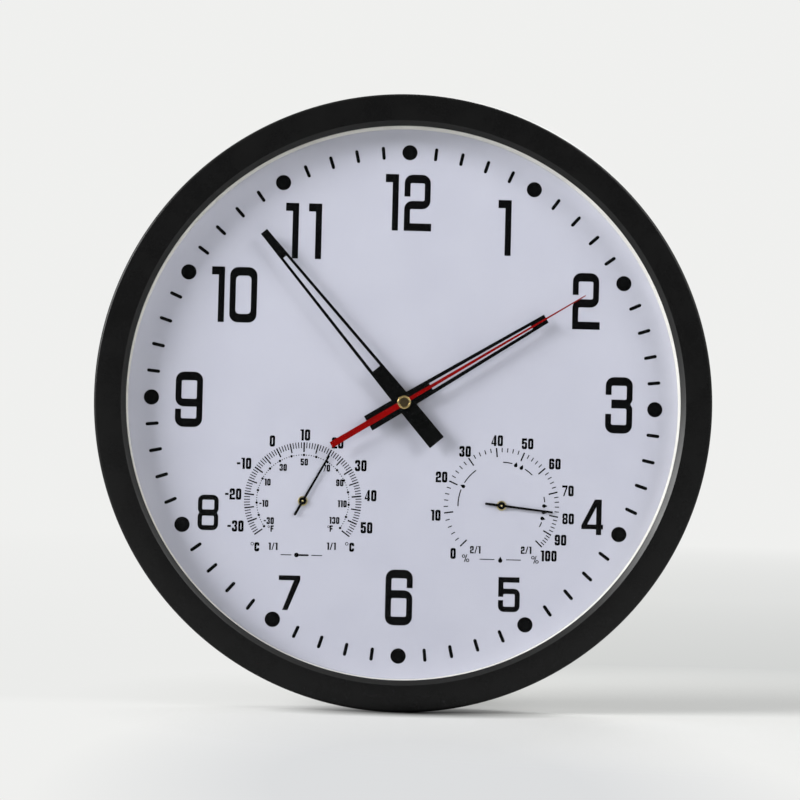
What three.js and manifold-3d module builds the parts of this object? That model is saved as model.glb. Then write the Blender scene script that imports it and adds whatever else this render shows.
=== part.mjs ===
import * as THREE from 'three';
import { mergeVertices } from 'three/addons/utils/BufferGeometryUtils.js';
import Module from 'manifold-3d';

const wasm = await Module();
wasm.setup();

// Wall clock with a thermometer and a hygrometer on its dial. Lengths are in millimetres.
// The dial faces -Y, the wall is at +Y and +Z is up. The origin is the centre of the case,
// on the axis of the hands. Angles of hands and pointers run clockwise from 12 o'clock.

// Clearances and cuts
const seat = 0.15;
const fit = 0.3;
const overrun = 1;
const weldDistance = 1e-4;

// Case
const caseDiameter = 355;
const caseDepth = 45;
const caseWall = 2.5;
const edgeRound = 1.6;
const bezelWidth = 15.4;
const chamferWidth = 2.8;
const chamferDepth = 2.4;
const lipLand = 0.6;
const lipOverlap = 4.8;
const pocketWall = 2.2;

// Glass, spacer ring and dial
const lensThickness = 1.8;
const spacerLength = 10.8;
const spacerTaper = 0.3;
const spacerFlange = 1.6;
const spacerWall = 1.8;
const dialThickness = 1.5;

// Rear cover
const coverThickness = 2.2;
const coverRecess = 5.8;
const clampRibWall = 2.4;
const clampRibInset = 1;
const windowGap = 2;
const windowCorner = 4;
const ventCount = 5;
const ventLength = 30;
const ventWidth = 3;
const ventPitch = 7;

// Keyhole that the clock hangs by
const hookSeatHeight = 120;
const keyholeHeadRadius = 5;
const keyholeSlotWidth = 5;
const keyholeDrop = 12;
const keyholePadMargin = 5;
const keyholePadThickness = 1.8;

// Screws of the rear cover
const screwCount = 6;
const screwFirstAngle = 30;
const screwShankRadius = 1.5;
const screwLength = 12;
const screwHeadRadius = 3;
const screwHeadThickness = 1.8;
const screwRecessDepth = 1;
const screwBossRadius = 3.6;
const screwSlotWidth = 0.9;
const screwSlotDepth = 0.8;

// Movement case
const movementWidth = 56;
const movementCorner = 3;
const movementWall = 1.4;
const lidRimDepth = 2;
const partitionWall = 1.2;
const rubberThickness = 0.6;
const rubberRadius = 9;
const bearingBossRadius = 1.3;
const bearingBossHeight = 2;
const bearingDepth = 1.2;
const bearingFloor = 0.5;

// Fixing of the movement to the dial
const bushRadius = 4;
const bushBoreRadius = 2.75;
const bushProud = 0.4;
const brassWasherThickness = 0.5;
const brassWasherRadius = 6.5;
const nutThickness = 2;
const nutAcrossFlats = 11;

// Shafts of the three hands
const hourPipeRadius = 2.45;
const hourPipeBoreRadius = 1.75;
const minutePipeRadius = 1.45;
const minutePipeBoreRadius = 0.8;
const secondArborRadius = 0.5;

// Train levels, from the dial side to the wall side
const levelGap = 0.4;
const hourWheelThickness = 1;
const wheelThickness = 0.8;
const pinionOverhang = 0.2;
const clutchCollarLength = 0.3;
const clutchCollarRadius = 2.2;

// Layout of the movement, in shares of its width
const motionDistanceShare = 0.16;
const centreThirdShare = 0.154;
const fourthFifthShare = 0.157;
const fifthRotorShare = 0.125;
const magnetRadiusShare = 0.045;
const coilLengthShare = 0.36;
const coilRadiusShare = 0.057;
const coilFlangeShare = 0.064;
const coilTubeShare = 0.032;
const statorArmShare = 0.08;
const boardWidthShare = 0.168;
const boardHeightShare = 0.39;
const batteryDiameterShare = 0.25;

// Train wheels
const pivotRadius = 0.4;
const motionArborRadius = 0.6;
const rotorPinionTeeth = 6;
const fifthWheelTeeth = 36;
const fifthPinionTeeth = 6;
const fourthWheelTeeth = 30;
const fourthPinionTeeth = 6;
const thirdWheelTeeth = 45;
const thirdPinionTeeth = 6;
const centreWheelTeeth = 48;
const cannonPinionTeeth = 8;
const minuteWheelTeeth = 24;
const minutePinionTeeth = 6;
const hourWheelTeeth = 24;
const addendumShare = 0.75;
const dedendumShare = 1.05;
const tipWidthShare = 0.12;
const rootWidthShare = 0.34;

// Motor
const magnetLength = 2;
const statorThickness = 1;
const statorGap = 0.4;
const statorRim = 0.8;
const statorMargin = 1.2;
const coilFlangeWidth = 0.8;
const statorPostRadius = 1.5;

// Circuit board and battery
const boardThickness = 0.8;
const boardInset = 0.6;
const boardDrop = 1.5;
const boardPostRadius = 1.2;
const crystalRadius = 1;
const crystalLength = 6;
const chipRadius = 2.6;
const chipHeight = 1.1;
const batteryNubRadius = 2.75;
const batteryNubLength = 1;
const batteryRecess = 0.7;
const batterySideGap = 0.3;
const contactDepth = 1.35;
const contactThickness = 0.35;
const contactWidth = 8;
const knobRadius = 4;
const knobLength = 3.6;
const knobFlutes = 12;
const knobFluteRadius = 0.6;

// Hands: lengths run from the axis
const handThickness = 0.4;
const sleeveLength = 1.2;
const handGap = 0.6;
const sleeveWall = 0.9;
const hourHand = {
  tip: 95.9, tail: 23.9, hubWidth: 9.4, tipWidth: 5.4, tailWidth: 9.65,
  windowStart: 18.2, windowEnd: 86.1, windowStartWidth: 4.3, windowEndWidth: 2.35,
};
const minuteHand = {
  tip: 127.5, tail: 30, hubWidth: 10.1, tipWidth: 4.6, tailWidth: 10.35,
  windowStart: 25.1, windowEnd: 108.5, windowStartWidth: 5.4, windowEndWidth: 2.2,
};
const secondHandTip = 122;
const secondHandTail = 48.7;
const secondHandHubWidth = 2.2;
const secondHandTipWidth = 0.6;
const secondHandTailHubWidth = 3.3;
const secondHandTailWidth = 3.7;
const capRadius = 3.8;
const capThickness = 1.2;
const capRecessRadius = 2.85;
const capRecessDepth = 0.35;

// Thermometer and hygrometer
const instrumentOffset = 57.5;
const instrumentShift = 0.65;
const instrumentDrop = 58.2;
const cupFlangeRadius = 24;
const cupFlangeThickness = 1.2;
const cupRadius = 20.2;
const cupWall = 1.2;
const cupDepth = 10;
const cupVentRadius = 1.6;
const cupVentCircle = 12;
const cupVentCount = 6;
const collarRadius = 2.85;
const collarThickness = 0.4;
const collarTubeRadius = 1.9;
const collarTubeLength = 2.4;
const pinRadius = 0.55;
const pinProud = 0.5;
const pointerThickness = 0.3;
const pointerWidth = 1.1;
const pointerBossRadius = 2.15;
const pointerBossThickness = 0.9;
const pointerFit = 0.1;
const coilStripThickness = 0.5;
const coilStripWidth = 4;
const coilTurns = 4.5;
const coilSteps = 16;
const thermometer = { side: -1, pointerTip: 30.3, pointerTail: 9.5 };
const hygrometer = { side: 1, pointerTip: 29.9, pointerTail: 9.7 };

// Rest pose, in degrees clockwise from 12 o'clock
const hourRestAngle = 58.1;
const minuteRestAngle = -40.7;
const secondRestAngle = 58.15;
const temperatureRestAngle = 28.9;
const humidityRestAngle = 96.1;

// Angles of the train in the movement, in degrees anticlockwise from +X
const motionAngle = 195;
const thirdAngle = 135;
const fifthAngle = 45;
const rotorAngle = 60;

// Sides of round pieces
const ringSides = 72;
const cupSides = 24;
const shaftSides = 16;
const smallSides = 10;

// Levels of the case, from the front to the wall
const caseRadius = caseDiameter / 2;
const frontY = -caseDepth / 2;
const wallY = caseDepth / 2;
const lipRadius = caseRadius - bezelWidth - chamferWidth;
const pocketRadius = lipRadius + lipOverlap;
const innerRadius = caseRadius - caseWall;
const lensSeatY = frontY + chamferDepth + lipLand;
const lensFront = lensSeatY + seat;
const lensBack = lensFront + lensThickness;
const spacerFront = lensBack + seat;
const spacerBack = spacerFront + spacerLength;
const dialFront = spacerBack + seat;
const dialBack = dialFront + dialThickness;
const discRadius = pocketRadius - fit;
const coverBack = wallY - coverRecess;
const coverFront = coverBack - coverThickness;
const screwCircle = (pocketRadius + pocketWall + innerRadius) / 2;
const screwSeatY = coverBack - screwRecessDepth;
const screwHeadFront = screwSeatY + seat;
const screwHeadBack = screwHeadFront + screwHeadThickness;
const screwEnd = screwSeatY - screwLength;

// Sizes in the movement
const motionDistance = movementWidth * motionDistanceShare;
const centreThirdDistance = movementWidth * centreThirdShare;
const fourthFifthDistance = movementWidth * fourthFifthShare;
const fifthRotorDistance = movementWidth * fifthRotorShare;
const magnetRadius = movementWidth * magnetRadiusShare;
const coilLength = movementWidth * coilLengthShare;
const coilRadius = movementWidth * coilRadiusShare;
const coilFlangeRadius = movementWidth * coilFlangeShare;
const coilTubeRadius = movementWidth * coilTubeShare;
const statorArm = movementWidth * statorArmShare;
const boardWidth = movementWidth * boardWidthShare;
const boardHeight = movementWidth * boardHeightShare;
const batteryDiameter = movementWidth * batteryDiameterShare;
const bayWidth = movementWidth - 2 * movementWall;
const batteryLength = bayWidth - 2 * contactDepth - batteryNubLength;

// Levels of the movement
const rubberFront = dialBack + seat;
const trayFront = rubberFront + rubberThickness + seat;
const trayFloor = trayFront + movementWall;
const hourWheelFront = trayFloor + levelGap;
const hourWheelBack = hourWheelFront + hourWheelThickness;
const minuteWheelFront = hourWheelBack + levelGap;
const minuteWheelBack = minuteWheelFront + wheelThickness;
const clutchCollarFront = minuteWheelBack + seat;
const clutchCollarBack = clutchCollarFront + clutchCollarLength;
const centreWheelFront = clutchCollarBack + seat;
const centreWheelBack = centreWheelFront + wheelThickness;
const cannonBack = centreWheelBack + pinionOverhang;
const thirdWheelFront = centreWheelBack + levelGap + pinionOverhang;
const thirdWheelBack = thirdWheelFront + wheelThickness;
const fourthWheelFront = thirdWheelBack + levelGap + pinionOverhang;
const fourthWheelBack = fourthWheelFront + wheelThickness;
const fifthWheelFront = fourthWheelBack + levelGap + pinionOverhang;
const fifthWheelBack = fifthWheelFront + wheelThickness;
const magnetFront = fifthWheelBack + levelGap + pinionOverhang;
const magnetBack = magnetFront + magnetLength;
const statorFront = (magnetFront + magnetBack - statorThickness) / 2;
const statorBack = statorFront + statorThickness;
const batteryFront = trayFloor + batterySideGap;
const batteryY = batteryFront + batteryDiameter / 2;
const movementBack = Math.max(
  batteryFront + batteryDiameter + batteryRecess,
  magnetBack + levelGap + bearingBossHeight + movementWall,
);
const lidInner = movementBack - movementWall;
const traySplit = lidInner - lidRimDepth;
const bearingY = lidInner - bearingBossHeight;
const arborBack = bearingY + bearingDepth - seat;
const arborFront = trayFront + bearingFloor + seat;

// Places in the movement
const movementHalf = movementWidth / 2;
const bayHeight = batteryDiameter + 2 * batterySideGap;
const bayBottom = -movementHalf + movementWall;
const bayTop = bayBottom + bayHeight;
const trainBottom = bayTop + partitionWall;
const trainTop = movementHalf - movementWall;
const batteryZ = bayBottom + bayHeight / 2;
const spindlePlace = [0, 0];
const motionPlace = stepFrom(spindlePlace, motionDistance, motionAngle);
const thirdPlace = stepFrom(spindlePlace, centreThirdDistance, thirdAngle);
const fifthPlace = stepFrom(spindlePlace, fourthFifthDistance, fifthAngle);
const rotorPlace = stepFrom(fifthPlace, fifthRotorDistance, rotorAngle);
const statorHoleRadius = magnetRadius + statorGap;
const statorBarBottom = rotorPlace[1] - statorHoleRadius - statorRim;
const statorBarTop = rotorPlace[1] + statorHoleRadius + statorRim;
const coilZ = statorBarTop + coilFlangeRadius + statorMargin;
const coilY = (statorFront + statorBack) / 2;
const statorWindow = coilLength + 2 * fit;
const statorHalf = statorWindow / 2 + statorArm;
const statorTop = coilZ + coilFlangeRadius + fit;
const statorPosts = [-1, 1].map((side) => [side * (statorHalf - statorArm / 2), coilZ]);
const boardFront = traySplit - boardDrop + seat;
const boardX = -movementHalf + movementWall + boardInset + boardWidth / 2;
const boardZ = trainTop - boardInset - boardHeight / 2;
const boardPosts = [-1, 1].map((end) => [boardX - boardWidth / 4, boardZ + end * boardHeight / 3]);

// Modules of the train: each pair's teeth fill the distance between its two axes
const motionModule = pairModule(motionDistance, cannonPinionTeeth, minuteWheelTeeth);
const hourModule = pairModule(motionDistance, minutePinionTeeth, hourWheelTeeth);
const centreModule = pairModule(centreThirdDistance, thirdPinionTeeth, centreWheelTeeth);
const thirdModule = pairModule(centreThirdDistance, fourthPinionTeeth, thirdWheelTeeth);
const fourthModule = pairModule(fourthFifthDistance, fifthPinionTeeth, fourthWheelTeeth);
const fifthModule = pairModule(fifthRotorDistance, rotorPinionTeeth, fifthWheelTeeth);

// Levels of the shafts and hands in front of the dial
const brassWasherBack = dialFront - seat;
const nutBack = brassWasherBack - brassWasherThickness - seat;
const nutFront = nutBack - nutThickness;
const bushFront = nutFront - bushProud;
const hourSleeveBack = bushFront - handGap;
const hourSleeveFront = hourSleeveBack - sleeveLength;
const minuteSleeveBack = hourSleeveFront - handGap;
const minuteSleeveFront = minuteSleeveBack - sleeveLength;
const secondSleeveBack = minuteSleeveFront - handGap;
const secondSleeveFront = secondSleeveBack - sleeveLength;
const capBack = secondSleeveFront - seat;
const capFront = capBack - capThickness;

// Levels of the instruments
const cupFront = dialBack + seat;
const cupBack = cupFront + cupDepth;
const cupFloor = cupBack - cupWall;
const collarBack = dialFront - seat;
const collarFront = collarBack - collarThickness;
const pointerBossBack = collarFront - fit;
const pointerBossFront = pointerBossBack - pointerBossThickness;
const pinFront = pointerBossFront - pinProud;

function stepFrom(place, distance, angle) {
  const turn = THREE.MathUtils.degToRad(angle);
  return [place[0] + distance * Math.cos(turn), place[1] + distance * Math.sin(turn)];
}

function pairModule(distance, teeth, otherTeeth) {
  return 2 * distance / (teeth + otherTeeth);
}

// A closed mesh as a solid: shared corners merged, flat triangles dropped, faces outward.
function solidFrom(geometry) {
  const bare = new THREE.BufferGeometry();
  bare.setAttribute('position', geometry.getAttribute('position'));
  bare.setIndex(geometry.getIndex());
  const merged = mergeVertices(bare, weldDistance);
  const positions = merged.getAttribute('position').array;
  const index = merged.getIndex().array;
  const triangles = [];
  let volume = 0;
  const [a, b, c] = [new THREE.Vector3(), new THREE.Vector3(), new THREE.Vector3()];
  for (let i = 0; i < index.length; i += 3) {
    const [p, q, r] = [index[i], index[i + 1], index[i + 2]];
    if (p === q || q === r || r === p) continue;
    triangles.push(p, q, r);
    a.fromArray(positions, 3 * p);
    b.fromArray(positions, 3 * q);
    c.fromArray(positions, 3 * r);
    volume += a.dot(b.cross(c));
  }
  if (volume < 0) triangles.reverse();
  return new wasm.Manifold(new wasm.Mesh({
    numProp: 3,
    vertProperties: new Float32Array(positions),
    triVerts: new Uint32Array(triangles),
  }));
}

function geometryFrom(solid) {
  const mesh = solid.getMesh();
  const geometry = new THREE.BufferGeometry();
  geometry.setAttribute('position', new THREE.BufferAttribute(mesh.vertProperties, 3));
  geometry.setIndex(new THREE.BufferAttribute(mesh.triVerts, 1));
  geometry.computeVertexNormals();
  return geometry;
}

function join(...geometries) {
  return geometryFrom(geometries.map(solidFrom).reduce((whole, next) => whole.add(next)));
}

function cut(base, ...tools) {
  return geometryFrom(tools.map(solidFrom).reduce((whole, next) => whole.subtract(next), solidFrom(base)));
}

// A piece turned about the Y axis, from a profile of [radius, y] points.
function turned(profile, sides) {
  const points = profile.map(([radius, y]) => new THREE.Vector2(radius, y));
  const closes = profile[0][0] !== 0;
  if (closes) points.push(points[0].clone());
  return new THREE.LatheGeometry(points, sides);
}

function ring(inner, outer, front, back, sides) {
  return turned([[inner, front], [outer, front], [outer, back], [inner, back]], sides);
}

function rod(radius, front, back, sides) {
  return turned([[0, front], [radius, front], [radius, back], [0, back]], sides);
}

// A flat piece in the plane of the dial, x to the right and z up, from front to back along Y.
function plate(shape, front, back, curveSegments = 6) {
  const options = { depth: back - front, bevelEnabled: false, curveSegments };
  const geometry = new THREE.ExtrudeGeometry(shape, options);
  geometry.rotateX(Math.PI / 2);
  geometry.translate(0, back, 0);
  return geometry;
}

function shapeOf(points) {
  return new THREE.Shape(points.map(([x, z]) => new THREE.Vector2(x, z)));
}

function circlePoints(radius, sides, x = 0, z = 0) {
  return Array.from({ length: sides }, (_, i) => {
    const turn = 2 * Math.PI * i / sides;
    return [x + radius * Math.cos(turn), z + radius * Math.sin(turn)];
  });
}

function roundedBox(width, height, corner, x = 0, z = 0) {
  const [halfWidth, halfHeight] = [width / 2 - corner, height / 2 - corner];
  const shape = new THREE.Shape();
  shape.absarc(x + halfWidth, z + halfHeight, corner, 0, Math.PI / 2);
  shape.absarc(x - halfWidth, z + halfHeight, corner, Math.PI / 2, Math.PI);
  shape.absarc(x - halfWidth, z - halfHeight, corner, Math.PI, 3 * Math.PI / 2);
  shape.absarc(x + halfWidth, z - halfHeight, corner, 3 * Math.PI / 2, 2 * Math.PI);
  return shape;
}

function box(left, right, bottom, top, front, back) {
  const shape = shapeOf([[left, bottom], [right, bottom], [right, top], [left, top]]);
  return plate(shape, front, back);
}

function movedTo(geometry, [x, z]) {
  return geometry.translate(x, 0, z);
}

// One toothed disc: each tooth is a trapezium, its first tooth centred at phase.
function toothed(teeth, module, phase, front, back) {
  const pitch = 2 * Math.PI / teeth;
  const pitchRadius = teeth * module / 2;
  const tipRadius = pitchRadius + addendumShare * module;
  const rootRadius = pitchRadius - dedendumShare * module;
  const halfRoot = pitch * rootWidthShare / 2;
  const halfTip = pitch * tipWidthShare / 2;
  const points = [];
  for (let tooth = 0; tooth < teeth; tooth += 1) {
    const middle = phase + tooth * pitch;
    const corners = [
      [rootRadius, -halfRoot], [tipRadius, -halfTip], [tipRadius, halfTip], [rootRadius, halfRoot],
    ];
    for (const [radius, offset] of corners) {
      points.push([radius * Math.cos(middle + offset), radius * Math.sin(middle + offset)]);
    }
  }
  return plate(shapeOf(points), front, back);
}

// The phase that puts a gap of the driven wheel over the driver's tooth on the line of centres.
function meshPhase(fromPlace, toPlace, driverTeeth, drivenTeeth) {
  const line = Math.atan2(toPlace[1] - fromPlace[1], toPlace[0] - fromPlace[0]);
  return line + Math.PI + (driverTeeth / drivenTeeth) * line - Math.PI / drivenTeeth;
}

// Case ring: flat bezel with an inner chamfer, outer wall, and the pocket wall that holds the
// glass, the spacer and the dial. The screw bosses stand between the two walls.
function caseRing() {
  const edgeSteps = 3;
  const edge = Array.from({ length: edgeSteps + 1 }, (_, i) => {
    const turn = Math.PI / 2 * i / edgeSteps;
    return [
      caseRadius - edgeRound + edgeRound * Math.sin(turn),
      frontY + edgeRound - edgeRound * Math.cos(turn),
    ];
  });
  const body = turned([
    [lipRadius, frontY + chamferDepth],
    [lipRadius + chamferWidth, frontY],
    ...edge,
    [caseRadius, wallY],
    [innerRadius, wallY],
    [innerRadius, lensSeatY],
    [pocketRadius + pocketWall, lensSeatY],
    [pocketRadius + pocketWall, dialBack],
    [pocketRadius, dialBack],
    [pocketRadius, lensSeatY],
    [lipRadius, lensSeatY],
  ], ringSides);
  const bosses = screwPlaces().map((place) => {
    const boss = rod(screwBossRadius, lensSeatY - overrun, coverFront - seat, smallSides);
    return movedTo(boss, place);
  });
  const bores = screwPlaces().map((place) => {
    const bore = rod(screwShankRadius + fit, screwEnd - fit, coverFront + overrun, smallSides);
    return movedTo(bore, place);
  });
  return cut(join(body, ...bosses), ...bores);
}

function screwPlaces() {
  return Array.from({ length: screwCount }, (_, i) => (
    stepFrom([0, 0], screwCircle, screwFirstAngle + 360 * i / screwCount)
  ));
}

function lens() {
  return rod(discRadius, lensFront, lensBack, ringSides);
}

// Spacer ring: its sloping inner wall is the pale step seen between the glass and the dial.
function spacerRing() {
  return turned([
    [lipRadius, spacerFront],
    [discRadius, spacerFront],
    [discRadius, spacerFront + spacerFlange],
    [lipRadius + spacerWall, spacerFront + spacerFlange],
    [lipRadius + spacerWall, spacerBack],
    [lipRadius - spacerTaper, spacerBack],
  ], ringSides);
}

function dial() {
  const shape = shapeOf(circlePoints(discRadius, ringSides));
  shape.holes.push(shapeOf(circlePoints(bushRadius + fit, shaftSides)));
  for (const place of [instrumentPlace(thermometer), instrumentPlace(hygrometer)]) {
    shape.holes.push(shapeOf(circlePoints(collarTubeRadius + fit, shaftSides, ...place)));
  }
  return plate(shape, dialFront, dialBack);
}

function instrumentPlace(instrument) {
  return [instrument.side * instrumentOffset + instrumentShift, -instrumentDrop];
}

// Rear cover: flat back, a rib that clamps the dial's rim, vents behind both instruments, a
// window round the movement, recesses for the screw heads and the keyhole with its thicker pad.
function rearCover() {
  const shape = shapeOf(circlePoints(innerRadius - fit, ringSides));
  const opening = movementWidth + 2 * windowGap;
  shape.holes.push(roundedBox(opening, opening, windowCorner));
  for (const place of screwPlaces()) {
    shape.holes.push(shapeOf(circlePoints(screwShankRadius + fit, smallSides, ...place)));
  }
  for (const instrument of [thermometer, hygrometer]) {
    const [x, z] = instrumentPlace(instrument);
    for (let vent = 0; vent < ventCount; vent += 1) {
      const height = z + (vent - (ventCount - 1) / 2) * ventPitch;
      shape.holes.push(roundedBox(ventLength, ventWidth, ventWidth / 2, x, height));
    }
  }
  const panel = plate(shape, coverFront, coverBack, 3);
  const ribOuter = discRadius - clampRibInset;
  const ribBack = coverFront + coverThickness / 2;
  const rib = ring(ribOuter - clampRibWall, ribOuter, dialBack + seat, ribBack, ringSides);
  const padWidth = 2 * (keyholeHeadRadius + keyholePadMargin);
  const padHeight = padWidth + keyholeDrop;
  const padShape = roundedBox(padWidth, padHeight, keyholePadMargin, 0, hookSeatHeight - keyholeDrop / 2);
  const pad = plate(padShape, coverFront - keyholePadThickness, ribBack);
  const recesses = screwPlaces().map((place) => (
    movedTo(rod(screwHeadRadius + fit, screwSeatY, coverBack + overrun, shaftSides), place)
  ));
  return cut(join(panel, rib, pad), keyhole(), ...recesses);
}

// The screw head goes in at the round end; the slot above it rests on the shank.
function keyhole() {
  const front = coverFront - keyholePadThickness - overrun;
  const back = coverBack + overrun;
  const slotRadius = keyholeSlotWidth / 2;
  const slotCentre = hookSeatHeight - slotRadius;
  const headCentre = slotCentre - keyholeDrop;
  const head = movedTo(rod(keyholeHeadRadius, front, back, shaftSides), [0, headCentre]);
  const slotShape = roundedBox(
    keyholeSlotWidth, keyholeDrop + keyholeSlotWidth, slotRadius, 0, (slotCentre + headCentre) / 2,
  );
  return join(head, plate(slotShape, front, back));
}

// Pan-head screw with a driver slot, its head in the cover's recess.
function coverScrew() {
  const head = rod(screwHeadRadius, screwHeadFront, screwHeadBack, shaftSides);
  const shank = rod(screwShankRadius, screwEnd, screwHeadFront + screwHeadThickness / 2, smallSides);
  const slot = box(
    -screwHeadRadius - overrun, screwHeadRadius + overrun, -screwSlotWidth / 2, screwSlotWidth / 2,
    screwHeadBack - screwSlotDepth, screwHeadBack + overrun,
  );
  return cut(join(head, shank), slot);
}

// Movement tray: front wall towards the dial, train pocket above and battery bay below.
function movementTray() {
  const body = plate(roundedBox(movementWidth, movementWidth, movementCorner), trayFront, traySplit, 3);
  const train = box(-bayWidth / 2, bayWidth / 2, trainBottom, trainTop, trayFloor, traySplit + overrun);
  const bay = box(-bayWidth / 2, bayWidth / 2, bayBottom, bayTop, trayFloor, traySplit + overrun);
  const bush = rod(bushRadius + pointerFit, trayFront - overrun, trayFloor + overrun, shaftSides);
  const bearings = [motionPlace, thirdPlace, fifthPlace, rotorPlace].map((place) => {
    const bearing = rod(motionArborRadius + pointerFit, arborFront - seat, trayFloor + overrun, smallSides);
    return movedTo(bearing, place);
  });
  const posts = [
    ...statorPosts.map((place) => movedTo(
      rod(statorPostRadius, trayFloor - movementWall / 2, statorFront - seat, smallSides), place,
    )),
    ...boardPosts.map((place) => movedTo(
      rod(boardPostRadius, trayFloor - movementWall / 2, boardFront - seat, smallSides), place,
    )),
  ];
  return join(cut(body, train, bay, bush, ...bearings), ...posts);
}

// Movement lid: rim, rear wall with the battery opening and the bearings of the train.
function movementLid() {
  const outline = roundedBox(movementWidth, movementWidth, movementCorner);
  const body = plate(outline, traySplit + seat, movementBack, 3);
  const train = box(-bayWidth / 2, bayWidth / 2, trainBottom, trainTop, traySplit - overrun, lidInner);
  const [bayFront, bayBack] = [traySplit - overrun, movementBack + overrun];
  const bay = box(-bayWidth / 2, bayWidth / 2, bayBottom, bayTop, bayFront, bayBack);
  const knobHole = movedTo(
    rod(motionArborRadius + fit, lidInner - overrun, movementBack + overrun, smallSides), motionPlace,
  );
  const places = [spindlePlace, thirdPlace, fifthPlace, rotorPlace];
  const bosses = places.map((place) => movedTo(
    rod(bearingBossRadius, bearingY, lidInner + movementWall / 2, smallSides), place,
  ));
  const bearings = places.map((place) => movedTo(
    rod(secondArborRadius + pointerFit, bearingY - overrun, bearingY + bearingDepth, smallSides), place,
  ));
  return cut(join(cut(body, train, bay, knobHole), ...bosses), ...bearings);
}

function threadedBush() {
  return ring(bushBoreRadius, bushRadius, bushFront, trayFloor, shaftSides);
}

function rubberWasher() {
  return ring(bushRadius + fit, rubberRadius, rubberFront, rubberFront + rubberThickness, shaftSides);
}

function brassWasher() {
  const front = brassWasherBack - brassWasherThickness;
  return ring(bushRadius + fit, brassWasherRadius, front, brassWasherBack, shaftSides);
}

function hexNut() {
  const sides = 6;
  const corner = nutAcrossFlats / 2 / Math.cos(Math.PI / sides);
  const shape = shapeOf(circlePoints(corner, sides));
  shape.holes.push(shapeOf(circlePoints(bushRadius + pointerFit, shaftSides)));
  return plate(shape, nutFront, nutBack);
}

// Hour wheel with the pipe that carries the hour hand.
function hourWheel() {
  const phase = meshPhase(motionPlace, spindlePlace, minutePinionTeeth, hourWheelTeeth);
  const wheel = toothed(hourWheelTeeth, hourModule, phase, hourWheelFront, hourWheelBack);
  const pipe = rod(hourPipeRadius, hourSleeveFront, hourWheelFront + hourWheelThickness / 2, shaftSides);
  const bore = rod(hourPipeBoreRadius, hourSleeveFront - overrun, hourWheelBack + overrun, shaftSides);
  return cut(join(wheel, pipe), bore);
}

// Minute arbor: pipe for the minute hand, cannon pinion and the collar of the friction clutch.
function minuteArbor() {
  const pinion = toothed(cannonPinionTeeth, motionModule, 0, minuteWheelFront, minuteWheelBack);
  const pipe = rod(minutePipeRadius, minuteSleeveFront, cannonBack, shaftSides);
  const collar = rod(clutchCollarRadius, clutchCollarFront, clutchCollarBack, shaftSides);
  const bore = rod(minutePipeBoreRadius, minuteSleeveFront - overrun, cannonBack + overrun, shaftSides);
  return cut(join(pinion, pipe, collar), bore);
}

// Centre wheel: slips on the minute arbor when the hands are set.
function centreWheel() {
  const phase = meshPhase(thirdPlace, spindlePlace, thirdPinionTeeth, centreWheelTeeth);
  const wheel = toothed(centreWheelTeeth, centreModule, phase, centreWheelFront, centreWheelBack);
  const bore = rod(minutePipeRadius + fit, centreWheelFront - overrun, centreWheelBack + overrun, shaftSides);
  return cut(wheel, bore);
}

// A train arbor with its wheel and its pinion.
function wheelOnArbor(wheel, pinion, arborRadius, front, back) {
  return join(wheel, pinion, rod(arborRadius, front, back, smallSides));
}

// Minute wheel of the motion work: its arbor comes out behind and carries the setting knob.
function minuteWheel() {
  const phase = meshPhase(spindlePlace, motionPlace, cannonPinionTeeth, minuteWheelTeeth);
  const wheel = toothed(minuteWheelTeeth, motionModule, phase, minuteWheelFront, minuteWheelBack);
  const pinion = toothed(minutePinionTeeth, hourModule, 0, hourWheelFront, minuteWheelFront + levelGap);
  return wheelOnArbor(wheel, pinion, motionArborRadius, arborFront, movementBack + fit + knobLength / 2);
}

function settingKnob() {
  const front = movementBack + fit;
  const knob = rod(knobRadius, front, front + knobLength, cupSides);
  const flutes = circlePoints(knobRadius, knobFlutes).map((place) => (
    movedTo(rod(knobFluteRadius, front - overrun, front + knobLength + overrun, smallSides), place)
  ));
  const socketBack = front + knobLength / 2 + seat;
  const socket = rod(motionArborRadius + pointerFit, front - overrun, socketBack, smallSides);
  return cut(knob, ...flutes, socket);
}

function thirdWheel() {
  const phase = meshPhase(spindlePlace, thirdPlace, fourthPinionTeeth, thirdWheelTeeth);
  const wheel = toothed(thirdWheelTeeth, thirdModule, phase, thirdWheelFront, thirdWheelBack);
  const pinion = toothed(
    thirdPinionTeeth, centreModule, 0,
    centreWheelFront - pinionOverhang, thirdWheelFront + wheelThickness / 2,
  );
  return wheelOnArbor(wheel, pinion, pivotRadius, arborFront, arborBack);
}

// Second arbor, also called the fourth wheel: it carries the second hand.
function secondArbor() {
  const phase = meshPhase(fifthPlace, spindlePlace, fifthPinionTeeth, fourthWheelTeeth);
  const wheel = toothed(fourthWheelTeeth, fourthModule, phase, fourthWheelFront, fourthWheelBack);
  const pinion = toothed(
    fourthPinionTeeth, thirdModule, 0,
    thirdWheelFront - pinionOverhang, fourthWheelFront + wheelThickness / 2,
  );
  return wheelOnArbor(wheel, pinion, secondArborRadius, secondSleeveFront, arborBack);
}

function fifthWheel() {
  const phase = meshPhase(rotorPlace, fifthPlace, rotorPinionTeeth, fifthWheelTeeth);
  const wheel = toothed(fifthWheelTeeth, fifthModule, phase, fifthWheelFront, fifthWheelBack);
  const pinion = toothed(
    fifthPinionTeeth, fourthModule, 0,
    fourthWheelFront - pinionOverhang, fifthWheelFront + wheelThickness / 2,
  );
  return wheelOnArbor(wheel, pinion, pivotRadius, arborFront, arborBack);
}

function rotor() {
  const magnet = rod(magnetRadius, magnetFront, magnetBack, shaftSides);
  const pinion = toothed(
    rotorPinionTeeth, fifthModule, 0, fifthWheelFront - pinionOverhang, magnetFront + magnetLength / 2,
  );
  return wheelOnArbor(magnet, pinion, pivotRadius, arborFront, arborBack);
}

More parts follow.
